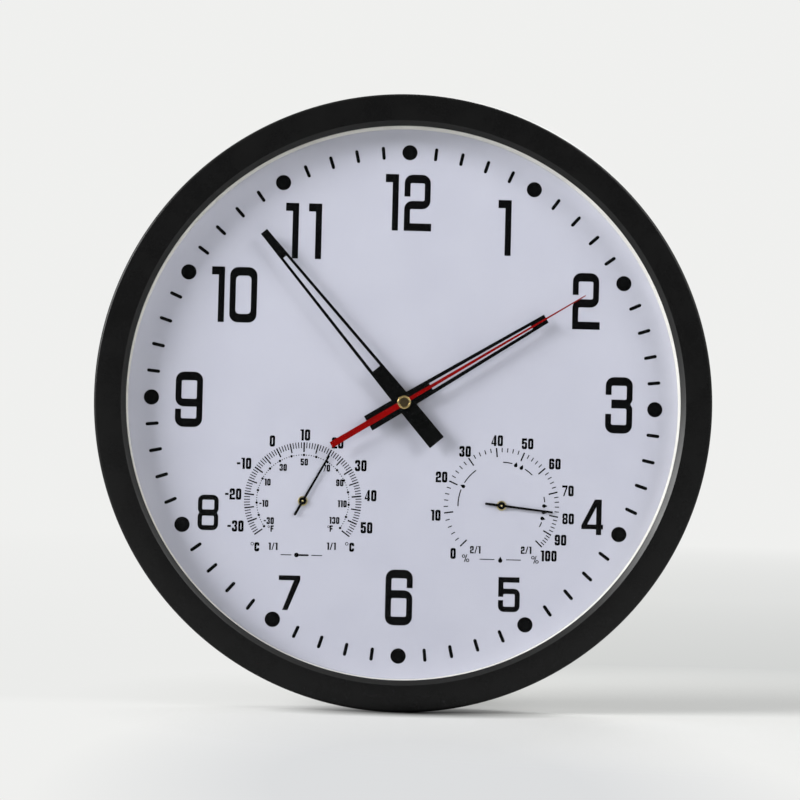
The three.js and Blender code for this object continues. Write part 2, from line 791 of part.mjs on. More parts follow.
// Stator: a flat iron yoke, round hole at the rotor and two arms to the ends of the coil.
function stator() {
  const shape = shapeOf([
    [-statorHalf, statorBarBottom],
    [statorHalf, statorBarBottom],
    [statorHalf, statorTop],
    [statorWindow / 2, statorTop],
    [statorWindow / 2, statorBarTop],
    [-statorWindow / 2, statorBarTop],
    [-statorWindow / 2, statorTop],
    [-statorHalf, statorTop],
  ]);
  shape.holes.push(shapeOf(circlePoints(statorHoleRadius, shaftSides, ...rotorPlace)));
  return plate(shape, statorFront, statorBack);
}

// The coil lies along X between the stator's arms: a piece turned about Y, then laid over.
function laidAcross(geometry) {
  geometry.rotateZ(-Math.PI / 2);
  geometry.translate(0, coilY, coilZ);
  return geometry;
}

function coilBobbin() {
  const end = coilLength / 2;
  const inside = end - coilFlangeWidth;
  return laidAcross(turned([
    [0, -end],
    [coilFlangeRadius, -end],
    [coilFlangeRadius, -inside],
    [coilTubeRadius, -inside],
    [coilTubeRadius, inside],
    [coilFlangeRadius, inside],
    [coilFlangeRadius, end],
    [0, end],
  ], shaftSides));
}

function coilWinding() {
  const end = coilLength / 2 - coilFlangeWidth - seat;
  return laidAcross(ring(coilTubeRadius + seat, coilRadius, -end, end, shaftSides));
}

function circuitBoard() {
  const shape = roundedBox(boardWidth, boardHeight, boardInset, boardX, boardZ);
  return plate(shape, boardFront, boardFront + boardThickness, 2);
}

// Crystal can, lying up the board on its dial side.
function crystalCan() {
  const can = rod(crystalRadius, -crystalLength / 2, crystalLength / 2, smallSides);
  can.rotateX(Math.PI / 2);
  can.translate(boardX + boardWidth / 4, boardFront - seat - crystalRadius, boardZ + boardHeight / 4);
  return can;
}

// The bare chip under its black drop, on the wall side of the board.
function chipDrop() {
  const base = boardFront + boardThickness + seat;
  const steps = 3;
  const dome = Array.from({ length: steps + 1 }, (_, i) => {
    const turn = Math.PI / 2 * i / steps;
    return [i === steps ? 0 : chipRadius * Math.cos(turn), base + chipHeight * Math.sin(turn)];
  });
  return movedTo(turned([[0, base], ...dome], shaftSides), [boardX, boardZ - boardHeight / 4]);
}

// Battery on its side along X, its positive end to the right.
function battery() {
  const end = batteryLength / 2;
  const cell = turned([
    [0, -end],
    [batteryDiameter / 2, -end],
    [batteryDiameter / 2, end],
    [batteryNubRadius, end],
    [batteryNubRadius, end + batteryNubLength],
    [0, end + batteryNubLength],
  ], shaftSides);
  cell.rotateZ(-Math.PI / 2);
  cell.translate(-batteryNubLength / 2, batteryY, batteryZ);
  return cell;
}

// A bowed spring strip between an end wall of the bay and the battery.
function batteryContact(side, endOfCell) {
  const wallX = side * (bayWidth / 2 - seat);
  const bowX = endOfCell + side * (fit + contactThickness);
  const inward = -side * contactThickness;
  const half = contactWidth / 2;
  const shape = shapeOf([
    [wallX, -half], [bowX, 0], [wallX, half],
    [wallX + inward, half], [bowX + inward, 0], [wallX + inward, -half],
  ]);
  const strip = plate(shape, -half, half);
  strip.translate(0, batteryY, batteryZ);
  return strip;
}

function positiveContact() {
  return batteryContact(1, batteryLength / 2 + batteryNubLength / 2);
}

function negativeContact() {
  return batteryContact(-1, -batteryLength / 2 - batteryNubLength / 2);
}

// A tapered baton hand with a long window, on a short sleeve over its pipe.
function batonHand(hand, pipeRadius, sleeveFront, sleeveBack) {
  const bladeBack = sleeveFront + handThickness;
  const shape = shapeOf([
    [-hand.tailWidth / 2, -hand.tail],
    [hand.tailWidth / 2, -hand.tail],
    [hand.hubWidth / 2, 0],
    [hand.tipWidth / 2, hand.tip],
    [-hand.tipWidth / 2, hand.tip],
    [-hand.hubWidth / 2, 0],
  ]);
  shape.holes.push(shapeOf([
    [-hand.windowStartWidth / 2, hand.windowStart],
    [-hand.windowEndWidth / 2, hand.windowEnd],
    [hand.windowEndWidth / 2, hand.windowEnd],
    [hand.windowStartWidth / 2, hand.windowStart],
  ]));
  const blade = plate(shape, sleeveFront, bladeBack);
  const sleeve = rod(pipeRadius + pointerFit + sleeveWall, sleeveFront, sleeveBack, shaftSides);
  const bore = rod(pipeRadius + pointerFit, sleeveFront - overrun, sleeveBack + overrun, shaftSides);
  return cut(join(blade, sleeve), bore);
}

function secondHand() {
  const shape = shapeOf([
    [-secondHandTailWidth / 2, -secondHandTail],
    [secondHandTailWidth / 2, -secondHandTail],
    [secondHandTailHubWidth / 2, 0],
    [secondHandHubWidth / 2, 0],
    [secondHandTipWidth / 2, secondHandTip],
    [-secondHandTipWidth / 2, secondHandTip],
    [-secondHandHubWidth / 2, 0],
    [-secondHandTailHubWidth / 2, 0],
  ]);
  const blade = plate(shape, secondSleeveFront, secondSleeveFront + handThickness);
  const hub = rod(capRecessRadius, secondSleeveFront, secondSleeveFront + handThickness, shaftSides);
  const sleeveRadius = secondArborRadius + pointerFit + sleeveWall;
  const sleeve = rod(sleeveRadius, secondSleeveFront, secondSleeveBack, shaftSides);
  const bore = rod(
    secondArborRadius + pointerFit, secondSleeveFront - overrun, secondSleeveBack + overrun, smallSides,
  );
  return cut(join(blade, hub, sleeve), bore);
}

function secondHandCap() {
  return turned([
    [0, capFront + capRecessDepth],
    [capRecessRadius, capFront + capRecessDepth],
    [capRecessRadius, capFront],
    [capRadius, capFront],
    [capRadius, capBack],
    [0, capBack],
  ], cupSides);
}

// Cup behind the dial that holds the coil: flange on the dial's back, vented floor, pivot hole.
function instrumentCup() {
  const cup = turned([
    [cupRadius - cupWall, cupFront],
    [cupFlangeRadius, cupFront],
    [cupFlangeRadius, cupFront + cupFlangeThickness],
    [cupRadius, cupFront + cupFlangeThickness],
    [cupRadius, cupBack],
    [pinRadius + pointerFit, cupBack],
    [pinRadius + pointerFit, cupFloor],
    [cupRadius - cupWall, cupFloor],
  ], cupSides);
  const vents = circlePoints(cupVentCircle, cupVentCount).map((place) => (
    movedTo(rod(cupVentRadius, cupFloor - overrun, cupBack + overrun, smallSides), place)
  ));
  return cut(cup, ...vents);
}

// Brass collar of an instrument: a thin ring on the dial and a tube through it.
function instrumentCollar() {
  return turned([
    [pinRadius + pointerFit, collarFront],
    [collarRadius, collarFront],
    [collarRadius, collarBack],
    [collarTubeRadius, collarBack],
    [collarTubeRadius, collarBack + collarTubeLength],
    [pinRadius + pointerFit, collarBack + collarTubeLength],
  ], shaftSides);
}

function instrumentArbor() {
  return rod(pinRadius, pinFront, cupBack - seat, smallSides);
}

function instrumentPointer(instrument) {
  const half = pointerWidth / 2;
  const tailSteps = 4;
  const tail = Array.from({ length: tailSteps + 1 }, (_, i) => {
    const turn = Math.PI + Math.PI * i / tailSteps;
    return [half * Math.cos(turn), half - instrument.pointerTail + half * Math.sin(turn)];
  });
  const shape = shapeOf([...tail, [half, instrument.pointerTip], [-half, instrument.pointerTip]]);
  const middle = (pointerBossFront + pointerBossBack) / 2;
  const blade = plate(shape, middle - pointerThickness / 2, middle + pointerThickness / 2);
  const boss = rod(pointerBossRadius, pointerBossFront, pointerBossBack, shaftSides);
  const bore = rod(pinRadius + pointerFit, pointerBossFront - overrun, pointerBossBack + overrun, smallSides);
  return cut(join(blade, boss), bore);
}

// Flat spiral strip from the arbor out to the wall of the cup.
function sensorCoil() {
  const start = pinRadius + fit + coilStripThickness / 2;
  const end = cupRadius - cupWall - fit - coilStripThickness / 2;
  const steps = Math.round(coilTurns * coilSteps);
  const sideOf = (offset) => Array.from({ length: steps + 1 }, (_, i) => {
    const share = i / steps;
    const radius = start + (end - start) * share + offset;
    const turn = 2 * Math.PI * coilTurns * share;
    return [radius * Math.cos(turn), radius * Math.sin(turn)];
  });
  const outer = sideOf(coilStripThickness / 2);
  const inner = sideOf(-coilStripThickness / 2).reverse();
  const middle = (collarBack + collarTubeLength + cupFloor) / 2;
  return plate(shapeOf([...outer, ...inner]), middle - coilStripWidth / 2, middle + coilStripWidth / 2);
}

// Materials
function material(color, roughness, metalness = 0) {
  return new THREE.MeshStandardMaterial({ color, roughness, metalness });
}

const blackPlastic = material(0x1a1a1b, 0.42);
const darkPlastic = material(0x2a2a2c, 0.6);
const creamPlastic = material(0xe9e6da, 0.55);
const glass = material(0xeef3f4, 0.05);
glass.transparent = true;
glass.opacity = 0.25;
const dialWhite = material(0xd4d5dc, 0.5);
const handBlack = material(0x161617, 0.4, 0.3);
const handRed = material(0xa31518, 0.4, 0.1);
const brass = material(0xb8954a, 0.3, 0.9);
const steel = material(0xb4b6b8, 0.35, 0.9);
const rubber = material(0x222222, 0.85);
const gearWhite = material(0xe6e4dc, 0.5);
const magnetGrey = material(0x4a4a4e, 0.5, 0.6);
const copper = material(0xa8582c, 0.35, 0.8);
const boardGreen = material(0x2f5d3a, 0.6);
const cellGrey = material(0x55585c, 0.4, 0.5);

const clock = new THREE.Group();

function addPiece(parent, name, geometry, look) {
  const piece = new THREE.Mesh(geometryFrom(solidFrom(geometry)), look);
  piece.name = name;
  parent.add(piece);
  return piece;
}

function addPieceAt(parent, name, geometry, look, [x, z]) {
  addPiece(parent, name, geometry, look).position.set(x, 0, z);
}

// A group on the axis of the hands, turned clockwise by an angle in degrees.
function addTurned(parent, angle) {
  const group = new THREE.Group();
  group.rotation.y = THREE.MathUtils.degToRad(angle);
  parent.add(group);
  return group;
}

addPiece(clock, 'case_ring', caseRing(), blackPlastic);
addPiece(clock, 'lens', lens(), glass);
addPiece(clock, 'spacer_ring', spacerRing(), creamPlastic);
addPiece(clock, 'dial', dial(), dialWhite);
addPiece(clock, 'rear_cover', rearCover(), darkPlastic);
screwPlaces().forEach((place, i) => {
  addPieceAt(clock, `cover_screw_${i + 1}`, coverScrew(), steel, place);
});

addPiece(clock, 'movement_tray', movementTray(), darkPlastic);
addPiece(clock, 'movement_lid', movementLid(), darkPlastic);
addPiece(clock, 'threaded_bush', threadedBush(), brass);
addPiece(clock, 'rubber_washer', rubberWasher(), rubber);
addPiece(clock, 'brass_washer', brassWasher(), brass);
addPiece(clock, 'hex_nut', hexNut(), brass);
addPiece(clock, 'stator', stator(), steel);
addPiece(clock, 'coil_bobbin', coilBobbin(), gearWhite);
addPiece(clock, 'coil_winding', coilWinding(), copper);
addPiece(clock, 'circuit_board', circuitBoard(), boardGreen);
addPiece(clock, 'crystal_can', crystalCan(), steel);
addPiece(clock, 'chip_drop', chipDrop(), rubber);
addPiece(clock, 'positive_contact', positiveContact(), steel);
addPiece(clock, 'negative_contact', negativeContact(), steel);
addPiece(clock, 'battery', battery(), cellGrey);

addPiece(clock, 'hour_wheel', hourWheel(), gearWhite);
addPiece(clock, 'minute_arbor', minuteArbor(), brass);
addPiece(clock, 'second_arbor', secondArbor(), gearWhite);
addPiece(clock, 'centre_wheel', centreWheel(), gearWhite);
addPieceAt(clock, 'minute_wheel', minuteWheel(), gearWhite, motionPlace);
addPieceAt(clock, 'setting_knob', settingKnob(), darkPlastic, motionPlace);
addPieceAt(clock, 'third_wheel', thirdWheel(), gearWhite, thirdPlace);
addPieceAt(clock, 'fifth_wheel', fifthWheel(), gearWhite, fifthPlace);
addPieceAt(clock, 'rotor', rotor(), magnetGrey, rotorPlace);

const hourBlade = batonHand(hourHand, hourPipeRadius, hourSleeveFront, hourSleeveBack);
const minuteBlade = batonHand(minuteHand, minutePipeRadius, minuteSleeveFront, minuteSleeveBack);
addPiece(addTurned(clock, hourRestAngle), 'hour_hand', hourBlade, handBlack);
addPiece(addTurned(clock, minuteRestAngle), 'minute_hand', minuteBlade, handBlack);
const secondGroup = addTurned(clock, secondRestAngle);
addPiece(secondGroup, 'second_hand', secondHand(), handRed);
addPiece(secondGroup, 'second_hand_cap', secondHandCap(), brass);

for (const [name, instrument, rest] of [
  ['thermometer', thermometer, temperatureRestAngle],
  ['hygrometer', hygrometer, humidityRestAngle],
]) {
  const group = new THREE.Group();
  const [x, z] = instrumentPlace(instrument);
  group.position.set(x, 0, z);
  clock.add(group);
  addPiece(group, `${name}_cup`, instrumentCup(), darkPlastic);
  addPiece(group, `${name}_coil`, sensorCoil(), name === 'thermometer' ? copper : steel);
  addPiece(group, `${name}_collar`, instrumentCollar(), brass);
  addPiece(group, `${name}_arbor`, instrumentArbor(), brass);
  addPiece(addTurned(group, rest), `${name}_pointer`, instrumentPointer(instrument), handBlack);
}

export default clock;
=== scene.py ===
import bpy
import bmesh
import math
from mathutils import Matrix, Vector


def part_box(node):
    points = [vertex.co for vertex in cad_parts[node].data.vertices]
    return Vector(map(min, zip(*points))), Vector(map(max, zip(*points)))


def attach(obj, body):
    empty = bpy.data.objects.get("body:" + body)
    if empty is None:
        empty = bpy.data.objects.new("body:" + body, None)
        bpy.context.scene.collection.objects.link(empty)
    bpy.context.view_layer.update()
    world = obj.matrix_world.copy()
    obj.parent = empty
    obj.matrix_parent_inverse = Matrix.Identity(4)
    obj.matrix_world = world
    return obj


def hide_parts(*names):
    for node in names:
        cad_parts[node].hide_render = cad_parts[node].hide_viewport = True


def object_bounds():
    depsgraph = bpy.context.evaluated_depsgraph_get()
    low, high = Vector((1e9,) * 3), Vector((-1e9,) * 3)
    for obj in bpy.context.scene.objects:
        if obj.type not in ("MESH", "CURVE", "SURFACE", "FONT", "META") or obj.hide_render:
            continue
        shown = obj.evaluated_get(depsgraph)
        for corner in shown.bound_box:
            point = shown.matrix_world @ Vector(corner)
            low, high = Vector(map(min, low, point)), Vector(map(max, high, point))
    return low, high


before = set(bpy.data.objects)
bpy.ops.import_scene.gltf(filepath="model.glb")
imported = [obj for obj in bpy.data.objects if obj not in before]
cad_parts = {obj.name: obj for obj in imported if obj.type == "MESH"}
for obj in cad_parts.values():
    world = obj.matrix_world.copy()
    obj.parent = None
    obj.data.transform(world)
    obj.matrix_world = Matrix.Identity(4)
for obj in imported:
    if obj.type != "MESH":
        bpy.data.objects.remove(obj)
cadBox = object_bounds()
print("frame loaded,", len(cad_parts), "nodes")

mm = 0.001
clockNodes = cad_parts
shownScene = bpy.context.scene


def levels(node):
    # where a CAD node begins and ends along Y, in millimetres
    low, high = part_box(node)
    return low.y / mm, high.y / mm


def middle(node):
    # the middle of a CAD node as it is seen on the dial, in millimetres
    low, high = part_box(node)
    return (low.x + high.x) / 2 / mm, (low.z + high.z) / 2 / mm


def addNode(tree, kind, settings=None, sockets=None, output=0):
    # a node with its settings first, then a value or a link for each socket
    made = tree.nodes.new(kind)
    for key, value in (settings or {}).items():
        setattr(made, key, value)
    for key, value in (sockets or {}).items():
        if isinstance(value, bpy.types.NodeSocket):
            tree.links.new(value, made.inputs[key])
        else:
            made.inputs[key].default_value = value
    return made.outputs[output] if made.outputs else None


class Wire:
    # one output of a node; sums and products on it add Math nodes
    def __init__(self, finish, socket):
        self.finish = finish
        self.socket = socket

    def __add__(self, other):
        return self.finish.math("ADD", self, other)

    def __sub__(self, other):
        return self.finish.math("SUBTRACT", self, other)

    def __rsub__(self, other):
        return self.finish.math("SUBTRACT", other, self)

    def __mul__(self, other):
        return self.finish.math("MULTIPLY", self, other)

    def __pow__(self, other):
        return self.finish.math("POWER", self, other)

    __radd__ = __add__
    __rmul__ = __mul__


class Finish:
    # the nodes of one material, or of the room around the clock
    def __init__(self, name, kind="materials"):
        self.owner = getattr(bpy.data, kind).new(name)
        self.owner.use_nodes = True
        self.tree = self.owner.node_tree
        self.tree.nodes.clear()

    def node(self, kind, settings=None, sockets=None, output=0):
        plain = {key: value.socket if isinstance(value, Wire) else value
                 for key, value in (sockets or {}).items()}
        socket = addNode(self.tree, kind, settings, plain, output)
        return socket and Wire(self, socket)

    def math(self, operation, *values):
        return self.node("ShaderNodeMath", {"operation": operation}, dict(enumerate(values)))

    def place(self, at=(0, 0, 0), stretch=(1, 1, 1)):
        # object coordinates from a point in millimetres
        point = self.node("ShaderNodeTexCoord", output="Object")
        shift = [-value * mm * scale for value, scale in zip(at, stretch)]
        return self.node("ShaderNodeMapping", None,
                         {"Vector": point, "Location": shift, "Scale": stretch})

    def axes(self, at=(0, 0, 0)):
        # distances from a point along X, Y and Z
        split = self.node("ShaderNodeSeparateXYZ", None, {"Vector": self.place(at)})
        return [Wire(self, socket) for socket in split.socket.node.outputs]

    def radius(self, at=(0, 0, 0)):
        # distance from an axis along Y
        x, _, z = self.axes(at)
        return (x * x + z * z) ** 0.5

    def distance(self, at, stretch=(1, 1, 1)):
        # distance from a point, counted in stretched metres
        return self.node("ShaderNodeVectorMath", {"operation": "LENGTH"},
                         {0: self.place(at, stretch)}, output=1)

    def noise(self, size, at=None, detail=3, roughness=0.5, seed=0):
        # size is the width of one patch in millimetres
        sockets = {"Vector": at or self.place(), "W": seed, "Scale": 1 / (size * mm),
                   "Detail": detail, "Roughness": roughness}
        return self.node("ShaderNodeTexNoise", {"noise_dimensions": "4D"}, sockets)

    def turningLines(self, radius, size, seed):
        point = self.node("ShaderNodeCombineXYZ", None, {"X": radius})
        return self.noise(size, point, detail=2, seed=seed)

    def between(self, value, low, high, start, end):
        # value from low to high becomes start to end, and stays within them
        return self.node("ShaderNodeMapRange", {"clamp": True},
                         dict(enumerate((value, low, high, start, end))))

    def mix(self, share, colour, other):
        first, second = [(*c, 1) if isinstance(c, tuple) else c for c in (colour, other)]
        return self.node("ShaderNodeMix", {"data_type": "RGBA"},
                         {0: share, 6: first, 7: second}, output=2)

    def fade(self, value, low, high, colour, other, most=1):
        # colour turns into other while value goes from low to high
        return self.mix(self.between(value, low, high, 0, most), colour, other)

    def surface(self, tone, rough, height=None, depth=0.0, **others):
        # depth is that of the bump in millimetres, for a height of one
        sockets = {key.replace("_", " "): value for key, value in others.items()}
        sockets.update({"Base Color": tone, "Roughness": rough})
        if height:
            sockets["Normal"] = self.node("ShaderNodeBump", None,
                                          {"Height": height, "Distance": depth * mm})
        shader = self.node("ShaderNodeBsdfPrincipled", None, sockets)
        self.node("ShaderNodeOutputMaterial", None, {"Surface": shader})
        return self.owner


def shade(colour, factor, lift=0.0):
    return tuple(min(1, channel * factor + lift) for channel in colour)


def mouldedFinish(name, colour, roughness, grain, depth, gloss, seed):
    # moulded plastic: a fine spark-eroded grain, soft cloudy patches and a little dust
    finish = Finish(name)
    fine = finish.noise(grain, detail=2, seed=seed)
    cloud = finish.noise(grain * 60, detail=4, roughness=0.6, seed=seed + 3)
    speck = finish.noise(grain * 2.5, detail=1, seed=seed + 7)
    dust = finish.between(speck, 0.72, 0.8, 0, 0.25) * finish.between(cloud, 0.45, 0.65, 0, 1)
    tone = finish.fade(cloud, 0.3, 0.7, colour, shade(colour, 1.2, 0.0005))
    tone = finish.mix(dust, tone, shade(colour, 0.8, 0.03))
    rough = finish.between(cloud + fine * 0.4, 0.4, 1.0, roughness - 0.06, roughness + 0.06)
    return finish.surface(tone, rough, fine, depth, Specular_IOR_Level=gloss)


def metalFinish(name, colour, roughness, metallic, lay, seed):
    # machined or drawn metal: lines turned round a point, or drawn along an axis
    finish = Finish(name)
    if isinstance(lay, str):
        stretch = [0.02 if axis == lay else 1 for axis in "XYZ"]
        lines = finish.noise(0.15, finish.place(stretch=stretch), detail=2, seed=seed)
    else:
        lines = finish.turningLines(finish.radius(lay), 0.12, seed)
    stain = finish.noise(4, detail=5, roughness=0.65, seed=seed + 5)
    tone = finish.fade(stain, 0.42, 0.72, colour, shade(colour, 0.7), most=0.7)
    rough = finish.between(stain + lines * 0.5, 0.5, 1.1, roughness - 0.07, roughness + 0.12)
    return finish.surface(tone, rough, lines, 0.012, Metallic=metallic)


def lacquerFinish(name, colour, roughness, gloss, seed):
    # sprayed lacquer on thin sheet: slight orange peel and faint pooling
    finish = Finish(name)
    peel = finish.noise(0.9, detail=2, seed=seed)
    pool = finish.noise(9, detail=3, seed=seed + 2)
    tone = finish.fade(pool, 0.35, 0.65, colour, shade(colour, 0.82))
    rough = finish.between(pool + peel * 0.3, 0.45, 0.85, roughness - 0.05, roughness + 0.06)
    return finish.surface(tone, rough, peel, 0.012, Specular_IOR_Level=gloss)


def printedBoardFinish(name):
    # the dial: silk matt white with a cool cast, faint mottle and fibre specks
    finish = Finish(name)
    mottle = finish.noise(26, detail=4, roughness=0.55, seed=2)
    fibre = finish.noise(0.5, finish.place(stretch=(1, 1, 0.35)), detail=3, seed=5)
    tone = finish.fade(mottle, 0.35, 0.65, (0.600, 0.612, 0.720), (0.622, 0.634, 0.740))
    tone = finish.fade(fibre, 0.62, 0.8, tone, (0.50, 0.51, 0.59), most=0.22)
    rough = finish.between(mottle + fibre * 0.4, 0.5, 0.95, 0.5, 0.6)
    return finish.surface(tone, rough, fibre, 0.006, Specular_IOR_Level=0.35)


def inkFinish(name):
    # screen-printed black: even, with a faint weave of the mesh
    finish = Finish(name)
    weave = finish.noise(0.25, detail=1, seed=4)
    wear = finish.noise(6, detail=4, seed=9)
    tone = finish.fade(wear, 0.4, 0.7, (0.0016, 0.0016, 0.0018), (0.0024, 0.0024, 0.0027))
    rough = finish.between(wear + weave * 0.4, 0.5, 0.9, 0.45, 0.55)
    return finish.surface(tone, rough, weave, 0.004, Specular_IOR_Level=0.02)


def glassFinish(name):
    # clear float glass, very slightly smeared by wiping
    finish = Finish(name)
    smear = finish.noise(30, finish.place(stretch=(1, 1, 0.3)), detail=5, roughness=0.6, seed=11)
    rough = finish.between(smear, 0.4, 0.7, 0.03, 0.09)
    return finish.surface((0.01, 0.012, 0.012, 1), rough, IOR=1.5, Alpha=0.07)


def windingFinish(name):
    # fine enamelled wire, wound side by side across the bobbin
    finish = Finish(name)
    wave = {"wave_type": "BANDS", "bands_direction": "X", "wave_profile": "SIN"}
    wire = finish.node("ShaderNodeTexWave", wave, {
        "Vector": finish.place(), "Scale": 1 / (1.9 * mm),
        "Distortion": 0.6, "Detail": 2.0, "Detail Scale": 1.5}, output=1)
    stain = finish.noise(2, detail=3, seed=3)
    tone = finish.mix(wire, (0.16, 0.045, 0.018), (0.48, 0.17, 0.07))
    tone = finish.fade(stain, 0.4, 0.7, tone, (0.3, 0.08, 0.03), most=0.5)
    rough = finish.between(stain, 0.3, 0.7, 0.25, 0.4)
    return finish.surface(tone, rough, wire, 0.05, Metallic=0.75)


def boardFinish(name):
    # green solder mask with raised copper tracks under it
    finish = Finish(name)
    cells = finish.node("ShaderNodeTexVoronoi",
                        {"feature": "DISTANCE_TO_EDGE", "distance": "MANHATTAN"},
                        {"Vector": finish.place(), "Scale": 1 / (2.2 * mm)})
    track = finish.between(cells, 0.03, 0.07, 1, 0)
    weave = finish.noise(0.3, detail=1, seed=2)
    tone = finish.mix(track, (0.012, 0.075, 0.025), (0.035, 0.17, 0.05))
    rough = finish.between(weave, 0.3, 0.7, 0.3, 0.42)
    return finish.surface(tone, rough, track + weave * 0.2, 0.03)


mouldedFinishes = {     # colour, roughness, width and depth of the grain in mm, gloss, seed
    "caseBlack": ((0.0036, 0.0036, 0.0037), 0.28, 0.3, 0.01, 0.18, 0),
    "chamferBlack": ((0.0022, 0.0022, 0.0024), 0.36, 0.3, 0.006, 0.34, 2),
    "coverBlack": ((0.02, 0.02, 0.021), 0.5, 0.7, 0.045, 0.3, 20),
    "spacerCream": ((0.78, 0.77, 0.71), 0.6, 0.4, 0.01, 0.3, 30),
    "movementBlack": ((0.024, 0.024, 0.025), 0.4, 0.5, 0.02, 0.3, 40),
    "cupBlack": ((0.018, 0.018, 0.019), 0.55, 0.6, 0.03, 0.3, 50),
    "knobGrey": ((0.30, 0.30, 0.29), 0.45, 0.4, 0.015, 0.3, 55),
    "trainWhite": ((0.72, 0.70, 0.64), 0.42, 0.2, 0.004, 0.3, 60),
    "washerRubber": ((0.02, 0.02, 0.02), 0.85, 0.25, 0.02, 0.3, 70),
    "chipResin": ((0.012, 0.012, 0.012), 0.3, 1.2, 0.02, 0.3, 80),
}
lacquerFinishes = {     # colour, roughness, gloss, seed
    "handBlack": ((0.0016, 0.0016, 0.0017), 0.27, 0.08, 0),
    "pointerBlack": ((0.0016, 0.0016, 0.0016), 0.27, 0.08, 6),
    "handRed": ((0.28, 0.0012, 0.0013), 0.3, 0.05, 12),
}
metalFinishes = {       # colour, roughness, metallic, lay of the lines, seed
    "fixingBrass": ((0.62, 0.42, 0.14), 0.32, 1.0, (0, 0, 0), 0),
    "screwSteel": ((0.50, 0.50, 0.49), 0.34, 1.0, "Z", 3),
    "statorIron": ((0.32, 0.32, 0.31), 0.42, 1.0, "X", 5),
    "contactSteel": ((0.60, 0.60, 0.58), 0.26, 1.0, "Z", 7),
    "rotorMagnet": ((0.12, 0.12, 0.125), 0.5, 0.6, "Y", 9),
    "bimetal": ((0.55, 0.36, 0.18), 0.36, 1.0, "X", 11),
    "humidityStrip": ((0.55, 0.54, 0.50), 0.38, 0.8, "X", 13),
}
otherFinishes = {
    "lensGlass": glassFinish, "dialBoard": printedBoardFinish, "dialInk": inkFinish,
    "windingCopper": windingFinish, "circuitBoard": boardFinish,
}
finishes = {name: make(name) for name, make in otherFinishes.items()}
for make, rows in ((mouldedFinish, mouldedFinishes), (lacquerFinish, lacquerFinishes),
                   (metalFinish, metalFinishes)):
    finishes.update({name: make(name, *row) for name, row in rows.items()})
print("finishes made,", len(finishes))


# paths lie in the plane of the dial, as (x, z) in millimetres

def softened(corners, steps=5):
    # a closed path of (x, z, rounding) corners, each turned into an arc
    path = []
    for i, corner in enumerate(corners):
        here = Vector(corner[:2])
        if len(corner) < 3 or not corner[2]:
            path.append(here)
            continue
        before = (Vector(corners[i - 1][:2]) - here).normalized()
        after = (Vector(corners[(i + 1) % len(corners)][:2]) - here).normalized()
        half = before.angle(after) / 2
        centre = here + (before + after).normalized() * corner[2] / math.sin(half)
        start = here + before * corner[2] / math.tan(half) - centre
        end = here + after * corner[2] / math.tan(half) - centre
        sweep = math.atan2(start.x * end.y - start.y * end.x, start.dot(end))
        for step in range(steps + 1):
            turn = sweep * step / steps
            path.append(centre + Vector((start.x * math.cos(turn) - start.y * math.sin(turn),
                                         start.x * math.sin(turn) + start.y * math.cos(turn))))
    return path


def rim(turn, radius=1.0):
    # a point on a circle, clockwise from 12 o'clock
    return Vector((math.sin(turn), math.cos(turn))) * radius


def arc(radius, start, end, steps, at=(0, 0)):
    return [Vector(at) + rim(start + (end - start) * i / steps, radius) for i in range(steps + 1)]


def bentBar(radius, width, start, end, steps, tip=()):
    # a bar on an arc from one turn in degrees to another, with any points at its end
    start, end = math.radians(start), math.radians(end)
    return (arc(radius + width / 2, start, end, steps) + list(tip)
            + arc(radius - width / 2, end, start, steps))


def roundPath(radius, at=(0, 0), steps=96):
    return [Vector((at[0] + radius * math.cos(2 * math.pi * i / steps),
                    at[1] + radius * math.sin(2 * math.pi * i / steps))) for i in range(steps)]


def boxed(left, low, right, high, rounding=0.0):
    return [(left, low, rounding), (right, low, rounding),
            (right, high, rounding), (left, high, rounding)]


def boxPath(width, height, rounding, at=(0, 0)):
    x, z = at
    return softened(boxed(x - width / 2, z - height / 2, x + width / 2, z + height / 2, rounding))


def meshFrom(bm, name):
    mesh = bpy.data.meshes.new(name)
    bm.to_mesh(mesh)
    bm.free()
    return mesh


def lathe(profile, at=(0, 0), steps=192):
    # a closed profile of (radius, y, rounding), turned about an axis along Y
    bm = bmesh.new()
    rings = []
    for radius, y in softened(profile):
        turns = [2 * math.pi * i / steps for i in range(steps)]
        rings.append([bm.verts.new(((at[0] + radius * math.sin(turn)) * mm, y * mm,
                                    (at[1] + radius * math.cos(turn)) * mm)) for turn in turns])
    for ring, following in zip(rings, rings[1:] + rings[:1]):
        for i in range(steps):
            j = (i + 1) % steps
            bm.faces.new((ring[i], ring[j], following[j], following[i]))
    bmesh.ops.remove_doubles(bm, verts=bm.verts, dist=1e-8)
    for edge in [edge for edge in bm.edges if not edge.link_faces]:
        bm.edges.remove(edge)
    bmesh.ops.recalc_face_normals(bm, faces=bm.faces)
    return meshFrom(bm, "turned")


def band(inner, outer, front, back, frontRound=0.0, backRound=0.0, at=(0, 0), steps=192):
    # a plain ring, or a disc where inner is 0
    hole = inner > 0
    return lathe([(inner, front, frontRound * hole), (outer, front, frontRound),
                  (outer, back, backRound), (inner, back, backRound * hole)], at, steps)


